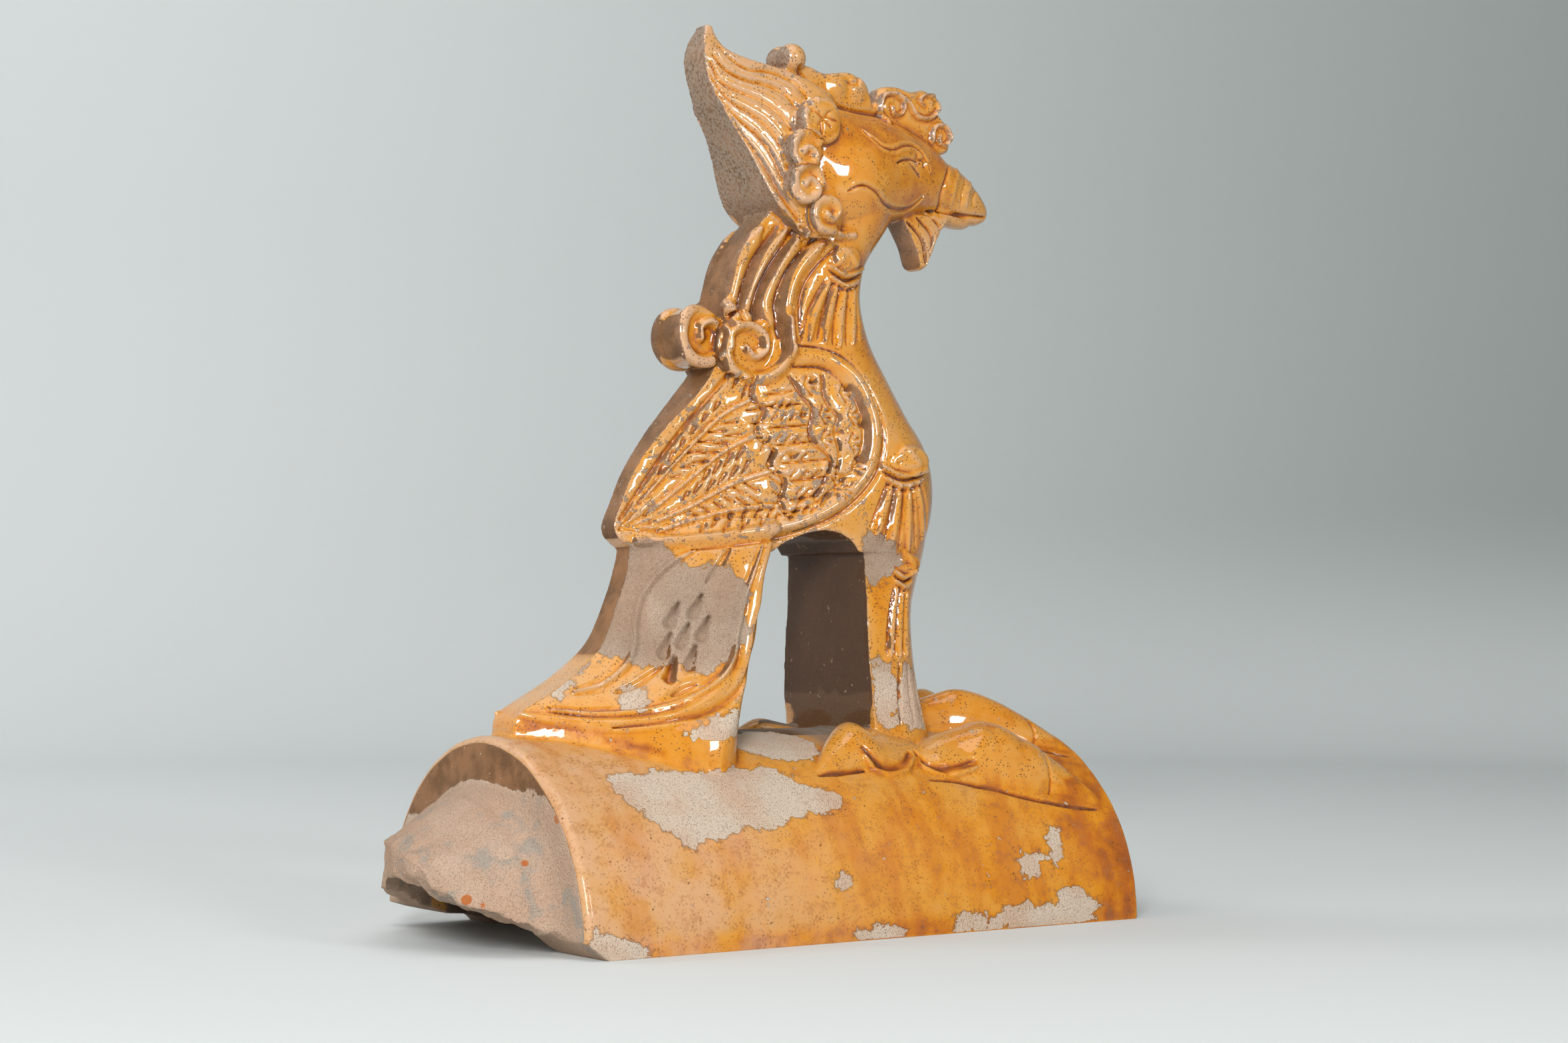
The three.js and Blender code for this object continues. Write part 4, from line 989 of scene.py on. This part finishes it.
# painted light: the tile's glaze is made thinner and lighter towards its left end and the top there, a falloff of
# the light from the left
pale = onTile * (0.4 * ease(70, 10, x) * ease(95, 40, arc) + 0.18 * ease(120, 30, x))
rich = np.where(onTile, 0.75 - pale, rich)
tailFootprint = insideBy(tail["ring"](68)[:, :2], x, y)
pools = Relief(np.arange(len(spots)), 1, x, np.abs(arc))
pools.stroke([[(u, v - 2) for u, v in roll] for roll in toeCarving["rolls"]], 4.5, 0.6, bothEnds)
pools.stroke(toeCarving["under"], 2.6, 0.4, bothEnds)
rich += pools.move * (out < 82) * (z > 20)
footLine = np.exp(-((tailFootprint + 0.6) / 1.6) ** 2) * (out < 75.2) * (z > 40)
betweenToes = ease(120, 132, x) * ease(196, 178, x) * ease(36, 24, side)
dusty = betweenToes * ease(82, 75, out) * (out > 70) * ease(0.6, 0.9, normals[:, 2])
satin = np.maximum(onTile * ease(90, 66, z), 0.3 * ease(150, 140, z) * (x < 112) * ~onTile)
worn = onWing * 0.9 + 0.3 * onCrest + 0.25 * (z > 70) * (1 - onFace)

values = {
    "dusty": dusty, "bare": bare, "clay": clayShare, "dull": dullAndShadedShare, "sooty": shade, "satin": satin,
    "rich": rich + 0.3 * footLine, "worn": worn,
}
for name, level in values.items():
    note(ornament, name, level)
only(ornament)
bpy.ops.object.shade_smooth_by_angle(angle=math.radians(60))
print("noted where the glaze is gone, thin or dull")


# Glaze and clay

class Wire:
    # a node's output; sums and products of wires add Math nodes
    tree = None

    def __init__(self, socket):
        self.socket = socket

    @classmethod
    def node(cls, kind, values, settings=None, out=0):
        made = cls.tree.nodes.new("ShaderNode" + kind)
        for name, value in (settings or {}).items():
            if name == "stops":
                while len(made.color_ramp.elements) < len(value):
                    made.color_ramp.elements.new(0.5)
                for stop, (place, colour) in zip(made.color_ramp.elements, value):
                    stop.position, stop.color = place, (*colour, 1)
            else:
                setattr(made, name, value)
        for name, value in values.items():
            if isinstance(value, Wire):
                cls.tree.links.new(value.socket, made.inputs[name])
            else:
                made.inputs[name].default_value = value
        return cls(made.outputs[out])

    def sum(self, operation, a, b):
        return Wire.node("Math", {0: a, 1: b}, {"operation": operation})

    def __add__(self, other):
        return self.sum("ADD", self, other)

    def __sub__(self, other):
        return self.sum("SUBTRACT", self, other)

    def __rsub__(self, other):
        return self.sum("SUBTRACT", other, self)

    def __mul__(self, other):
        return self.sum("MULTIPLY", self, other)

    __radd__, __rmul__ = __add__, __mul__

    def between(self, low, high):
        # 0 below low, 1 above high, soft in the middle
        return Wire.node("MapRange", {"Value": self, "From Min": low, "From Max": high},
                         {"interpolation_type": "SMOOTHSTEP"})


def noise(place, size, detail=2.0, rough=0.5, twist=0.0):
    return Wire.node("TexNoise", {"Vector": place, "Scale": 1 / size, "Detail": detail, "Roughness": rough,
                                  "Distortion": twist})


def dots(place, size):
    return Wire.node("TexVoronoi", {"Vector": place, "Scale": 1 / size, "Randomness": 1.0}, {"feature": "F1"})


def mixed(share, first, second, way="MIX"):
    ends = [(*c, 1) if isinstance(c, tuple) else c for c in (first, second)]
    return Wire.node("Mix", {0: share, 6: ends[0], 7: ends[1]}, {"data_type": "RGBA", "blend_type": way}, out=2)


def kept(name):
    return Wire.node("Attribute", {}, {"attribute_name": name}, out=2)


glaze = {
    # from thin to pooled
    "tones": [(0.0, (0.52, 0.30, 0.16)), (0.2, (0.52, 0.265, 0.09)), (0.42, (0.57, 0.25, 0.035)),
              (0.6, (0.55, 0.20, 0.009)), (0.76, (0.40, 0.11, 0.006)), (0.9, (0.22, 0.052, 0.006)),
              (1.0, (0.12, 0.033, 0.008))],
    "speck": (0.06, 0.018, 0.006), "brown": (0.08, 0.038, 0.019), "tan": (0.20, 0.10, 0.053),
    # the pinkish colour on the next line is a thinner glaze with a painted sheen for the tile's lower left
    "dust": (0.25, 0.20, 0.16), "thinGlazeAndSheen": (0.52, 0.33, 0.22), "grime": (0.30, 0.12, 0.045),
    # the first colour on the next line is the painted shade for the archway, the second is rust
    "sooty": (0.075, 0.038, 0.02), "rust": (0.40, 0.11, 0.02),
    "gloss": 0.12, "dullness": 0.5, "satin": 0.17, "coatRoughness": 0.05, "coatIor": 1.6, "underCoat": 0.15,
}
clayBody = {"light": (0.58, 0.47, 0.37), "pink": (0.54, 0.38, 0.27), "brown": (0.22, 0.135, 0.085),
            "grey": (0.30, 0.27, 0.23), "tongue": (0.42, 0.275, 0.19), "roughness": 0.93}


def larger(a, b):
    return Wire.node("Math", {0: a, 1: b}, {"operation": "MAXIMUM"})


def firedGlaze():
    material = bpy.data.materials.new("amberGlaze")
    material.use_nodes = True
    tree = Wire.tree = material.node_tree
    tree.nodes.clear()
    place = Wire.node("Mapping", {"Vector": Wire.node("TexCoord", {}, out=3), "Scale": (1000, 1000, 1000)},
                      {"vector_type": "POINT"})
    drips = Wire.node("Mapping", {"Vector": place, "Scale": (1, 0.2, 0.2)}, {"vector_type": "POINT"})
    along, height = Wire.node("SeparateXYZ", {0: place}, out=0), Wire.node("SeparateXYZ", {0: place}, out=2)
    names = ("groove", "hollow", "bare", "clay", "dull", "sooty", "satin", "dusty", "rich", "worn")
    groove, hollow, bareBy, clayHere, dullAndShadedHere, archShadeHere, satinHere, dustHere, rich, wear = map(kept, names)
    broad, cloud, patch, fine = noise(place, 55), noise(place, 16, 3), noise(place, 5, 3), noise(place, 1.1, 3)
    grit, flow = noise(place, 0.5, 2, 0.7), noise(drips, 9, 3)

    # where the glaze still lies
    ragged = (patch - 0.5) * 9 + (noise(place, 2.2, 3, 0.65) - 0.5) * 5
    flakedOff = (bareBy + ragged).between(-0.35, 0.1)
    flakeRim = (bareBy + ragged).between(-1.6, -0.2)
    chips = noise(place, 3.0, 4, 0.7) + (0 - groove) * 0.1 + (cloud - 0.5) * 0.25 + wear * 0.075
    chipped = chips.between(0.69, 0.705)
    clayEdge = (clayHere + (patch - 0.5) * 0.6 + (fine - 0.5) * 0.2).between(0.42, 0.5)
    noGlaze = larger(larger(flakedOff, chipped), clayEdge)
    glazed = 1 - noGlaze

    # colour of the glaze by its thickness
    thickness = rich * 0.64 + groove * 0.8 + hollow * 0.12 + (broad - 0.5) * 0.4 + (cloud - 0.5) * 0.5
    thickness = thickness + (patch - 0.5) * 0.35 + satinHere * (flow - 0.5) * 0.35
    # the tile is made darker towards its right end, a painted falloff of the light from the left, and darker
    # along its bottom edge
    edges = larger(along.between(85, 140), height.between(9, 3))
    thickness = thickness + satinHere * edges * 0.3
    colour = Wire.node("ValToRGB", {0: thickness}, {"stops": glaze["tones"]})
    rust = (flow + (broad - 0.5) * 0.6).between(0.5, 0.72) * satinHere * 0.4
    colour = mixed(rust, colour, glaze["rust"])
    # a paler pinkish patch low on the tile's left end: thinner glaze with a painted sheen where a broad
    # reflection of the light lies
    thinGlazeAndSheen = satinHere * height.between(72, 30) * along.between(50, -70) * cloud.between(0.3, 0.6)
    colour = mixed(thinGlazeAndSheen * 0.55, colour, glaze["thinGlazeAndSheen"])
    colour = mixed((fine * 0.5 + patch * 0.5).between(0.5, 0.62) * satinHere * 0.4, colour, glaze["grime"])
    pepper = (1 - dots(place, 1.2).between(0.2, 0.32)) * noise(place, 6, 2).between(0.36, 0.58)
    freckles = (1 - dots(place, 4.6).between(0.06, 0.11)) * cloud.between(0.42, 0.52)
    colour = mixed(pepper * (0.8 - satinHere * 0.4), colour, glaze["speck"])
    colour = mixed(freckles * 0.7, colour, glaze["speck"])
    # dull brown for the back bands, and painted shade with some dirt on the recessed end round the tongue
    dulledAndShaded = (dullAndShadedHere + (cloud - 0.5) * 0.6).between(0.3, 0.7)
    back = mixed((cloud * 0.6 + patch * 0.4).between(0.4, 0.62), glaze["brown"], glaze["tan"])
    back = mixed(height.between(248, 275) * fine.between(0.3, 0.6) * 0.9, back, glaze["dust"])
    colour = mixed(dulledAndShaded * 0.88, colour, back)
    # painted shade in the archway: a dark brown laid over the glaze there
    archShaded = (archShadeHere + (cloud - 0.5) * 0.3).between(0.3, 0.7)
    archShadeColour = mixed((patch * 0.5 + flow * 0.5).between(0.45, 0.68), glaze["sooty"], glaze["brown"])
    colour = mixed(archShaded * 0.92, colour, archShadeColour)
    dusted = dustHere * (0.35 + patch * 0.8)
    colour = mixed(dusted, colour, glaze["dust"])
    colour = mixed(flakeRim * 0.4, colour, glaze["brown"])

    # the body under it
    earth = mixed(noise(place, 24, 3).between(0.38, 0.62), clayBody["light"], clayBody["pink"])
    earth = mixed(height.between(84, 104) * (0.25 + cloud * 0.7), earth, clayBody["brown"])
    earth = mixed(clayHere * (0.35 + cloud * 0.9), earth, clayBody["tongue"])
    stains = clayHere * (noise(place, 12, 5, 0.6) + groove * 0.5).between(0.5, 0.66)
    earth = mixed(stains * 0.85, earth, clayBody["grey"])
    earth = mixed(grit.between(0.52, 0.66) * 0.75, earth, clayBody["brown"])
    earth = mixed(grit.between(0.42, 0.3) * 0.35, earth, clayBody["light"])
    # painted shade: the grooves in the bare clay are darkened to brown
    earth = mixed(groove.between(0.12, 0.5) * (1 - clayHere) * 0.85, earth, clayBody["brown"])
    spatter = (1 - dots(place, 16).between(0.1, 0.13)) * clayHere
    colour = mixed(noGlaze, colour, mixed(spatter * 0.9, earth, glaze["rust"]))

    dry = larger(larger(dulledAndShaded * 0.85, archShaded * 0.7), dusted)
    rough = glaze["gloss"] + (fine - 0.5) * 0.1 + (cloud - 0.5) * 0.1 + dry * glaze["dullness"]
    rough = rough + satinHere * glaze["satin"]
    rough = Wire.node("Mix", {0: noGlaze, 2: rough + 0.12, 3: clayBody["roughness"]}, {"data_type": "FLOAT"})
    coat = glazed * (1 - dry) * (1 - satinHere * 0.8)

    # relief finer than the mesh, in millimetres
    bumps = glazed * 0.3 + noGlaze * ((grit - 0.5) * 0.6 + (fine - 0.5) * 0.35) + (patch - 0.5) * 0.06
    bumps = bumps + glazed * ((fine - 0.5) * 0.03 - pepper * 0.03 - freckles * 0.08) + dry * (fine - 0.5) * 0.35
    bump = Wire.node("Bump", {"Height": bumps * mm, "Distance": 1.0, "Strength": 1.0})
    shader = Wire.node("BsdfPrincipled", {"Base Color": colour, "Roughness": rough, "Coat Weight": coat,
                                          "Coat Roughness": glaze["coatRoughness"], "Coat IOR": glaze["coatIor"],
                                          "Specular IOR Level": glaze["underCoat"], "Normal": bump})
    end = tree.nodes.new("ShaderNodeOutputMaterial")
    tree.links.new(shader.socket, end.inputs["Surface"])
    return material


ornament.data.materials.clear()
ornament.data.materials.append(firedGlaze())
print("glazed")

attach(ornament, "root")
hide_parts("phoenix_ridge_tile")


# Studio: a pale round sweep with painted shade towards its right and behind the camera, soft lights and the
# camera at the photograph's place

studio = {"floorRadius": 1.35, "bend": 0.55, "wallHeight": 1.7, "sides": 96, "paper": (0.62, 0.645, 0.64),
          "shadedPaper": (0.22, 0.245, 0.23), "darkPaper": (0.09, 0.095, 0.095)}
outline = [(r, 0.0) for r in (0.001, 0.4, 0.8, 1.1, studio["floorRadius"])]
for turn in range(6, 91, 6):
    a = math.radians(turn)
    outline.append((studio["floorRadius"] + studio["bend"] * math.sin(a), studio["bend"] * (1 - math.cos(a))))
outline.append((studio["floorRadius"] + studio["bend"], studio["wallHeight"]))
count = studio["sides"]
rings = [[(r * math.cos(t), r * math.sin(t), h) for t in np.linspace(0, 2 * math.pi, count, endpoint=False)]
         for r, h in outline]
verts = [spot for ring in rings for spot in ring]
faces = []
for i in range(len(rings) - 1):
    for j in range(count):
        a, b = i * count + j, i * count + (j + 1) % count
        faces.append((a, b, b + count, a + count))
faces.append(tuple(range(count - 1, -1, -1)))
sweepMesh = bpy.data.meshes.new("sweep")
sweepMesh.from_pydata(verts, [], faces)
sweep = bpy.data.objects.new("sweep", sweepMesh)
bpy.context.collection.objects.link(sweep)
only(sweep)
bpy.ops.object.shade_smooth_by_angle(angle=math.radians(50))


def palePaper():
    material = bpy.data.materials.new("palePaper")
    material.use_nodes = True
    tree = Wire.tree = material.node_tree
    tree.nodes.clear()
    place = Wire.node("TexCoord", {}, out=3)
    broad, fibre = noise(place, 1.5), noise(place, 0.002, 3)
    x, y, z = [Wire.node("SeparateXYZ", {0: place}, out=side) for side in range(3)]
    # painted shade: the sweep grows greyer towards the right and up its walls, as the light from the left falls
    # off
    rightwards = x * 0.816 + y * -0.578 + (broad - 0.5) * 0.3
    shadedHere = rightwards.between(-0.7, 1.5) * z.between(0.0, 0.25)
    colour = mixed(shadedHere, studio["paper"], studio["shadedPaper"])
    # painted shade: the sweep is dark behind the camera, standing in for the unlit room that the glaze reflects
    behindCamera = (x * -0.56 + y * -0.83).between(0.9, 1.4) * z.between(0.05, 0.4)
    colour = mixed(behindCamera, colour, studio["darkPaper"])
    bump = Wire.node("Bump", {"Height": fibre * 0.00005, "Distance": 1.0, "Strength": 0.5})
    shader = Wire.node("BsdfPrincipled", {"Base Color": colour, "Roughness": 0.75 + fibre * 0.1, "Normal": bump})
    end = tree.nodes.new("ShaderNodeOutputMaterial")
    tree.links.new(shader.socket, end.inputs["Surface"])
    return material


sweepMesh.materials.append(palePaper())

camera = bpy.data.objects.new("camera", bpy.data.cameras.new("camera"))
bpy.context.collection.objects.link(camera)
camera.location = (-0.570, -0.8402, 0.1074)
camera.rotation_euler = (Vector((0.026, 0, 0.150)) - camera.location).to_track_quat("-Z", "Y").to_euler()
camera.data.lens = 62.62
bpy.context.scene.camera = camera

softboxes = {
    # place, aimed at, width, height, watts
    "window": ((-1.1, -1.2, 0.7), (0, 0, 0.17), 0.42, 0.46, 24),
    "glint": ((0.14, -1.44, 0.62), (0.03, 0, 0.2), 0.26, 0.3, 5.5),
    "left": ((-1.5, -0.3, 0.9), (0, 0, 0.15), 1.0, 1.0, 5),
    "overhead": ((-0.2, -0.4, 1.6), (0, 0, 0.1), 1.2, 1.2, 7),
    "fill": ((0.9, -1.35, 0.9), (0, 0, 0.15), 1.5, 1.3, 1.5),
    "paper left": ((-0.9, 1.0, 1.5), (-0.1, 1.9, 0.5), 0.9, 0.9, 15),
    "paper right": ((0.4, 0.7, 1.7), (1.3, 1.2, 0.3), 0.9, 0.9, 2),
}
for name, (spot, target, width, tall, watts) in softboxes.items():
    lamp = bpy.data.lights.new(name, "AREA")
    lamp.shape, lamp.size, lamp.size_y, lamp.energy = "RECTANGLE", width, tall, watts
    box = bpy.data.objects.new(name, lamp)
    bpy.context.collection.objects.link(box)
    box.location = spot
    box.rotation_euler = (Vector(target) - Vector(spot)).to_track_quat("-Z", "Y").to_euler()
    box.visible_camera = False

world = bpy.data.worlds.new("studio")
bpy.context.scene.world = world
world.use_nodes = True
world.node_tree.nodes["Background"].inputs["Color"].default_value = (0.80, 0.86, 0.88, 1)
world.node_tree.nodes["Background"].inputs["Strength"].default_value = 0.2
bpy.context.scene.view_settings.view_transform = "Standard"

print("lit and framed")
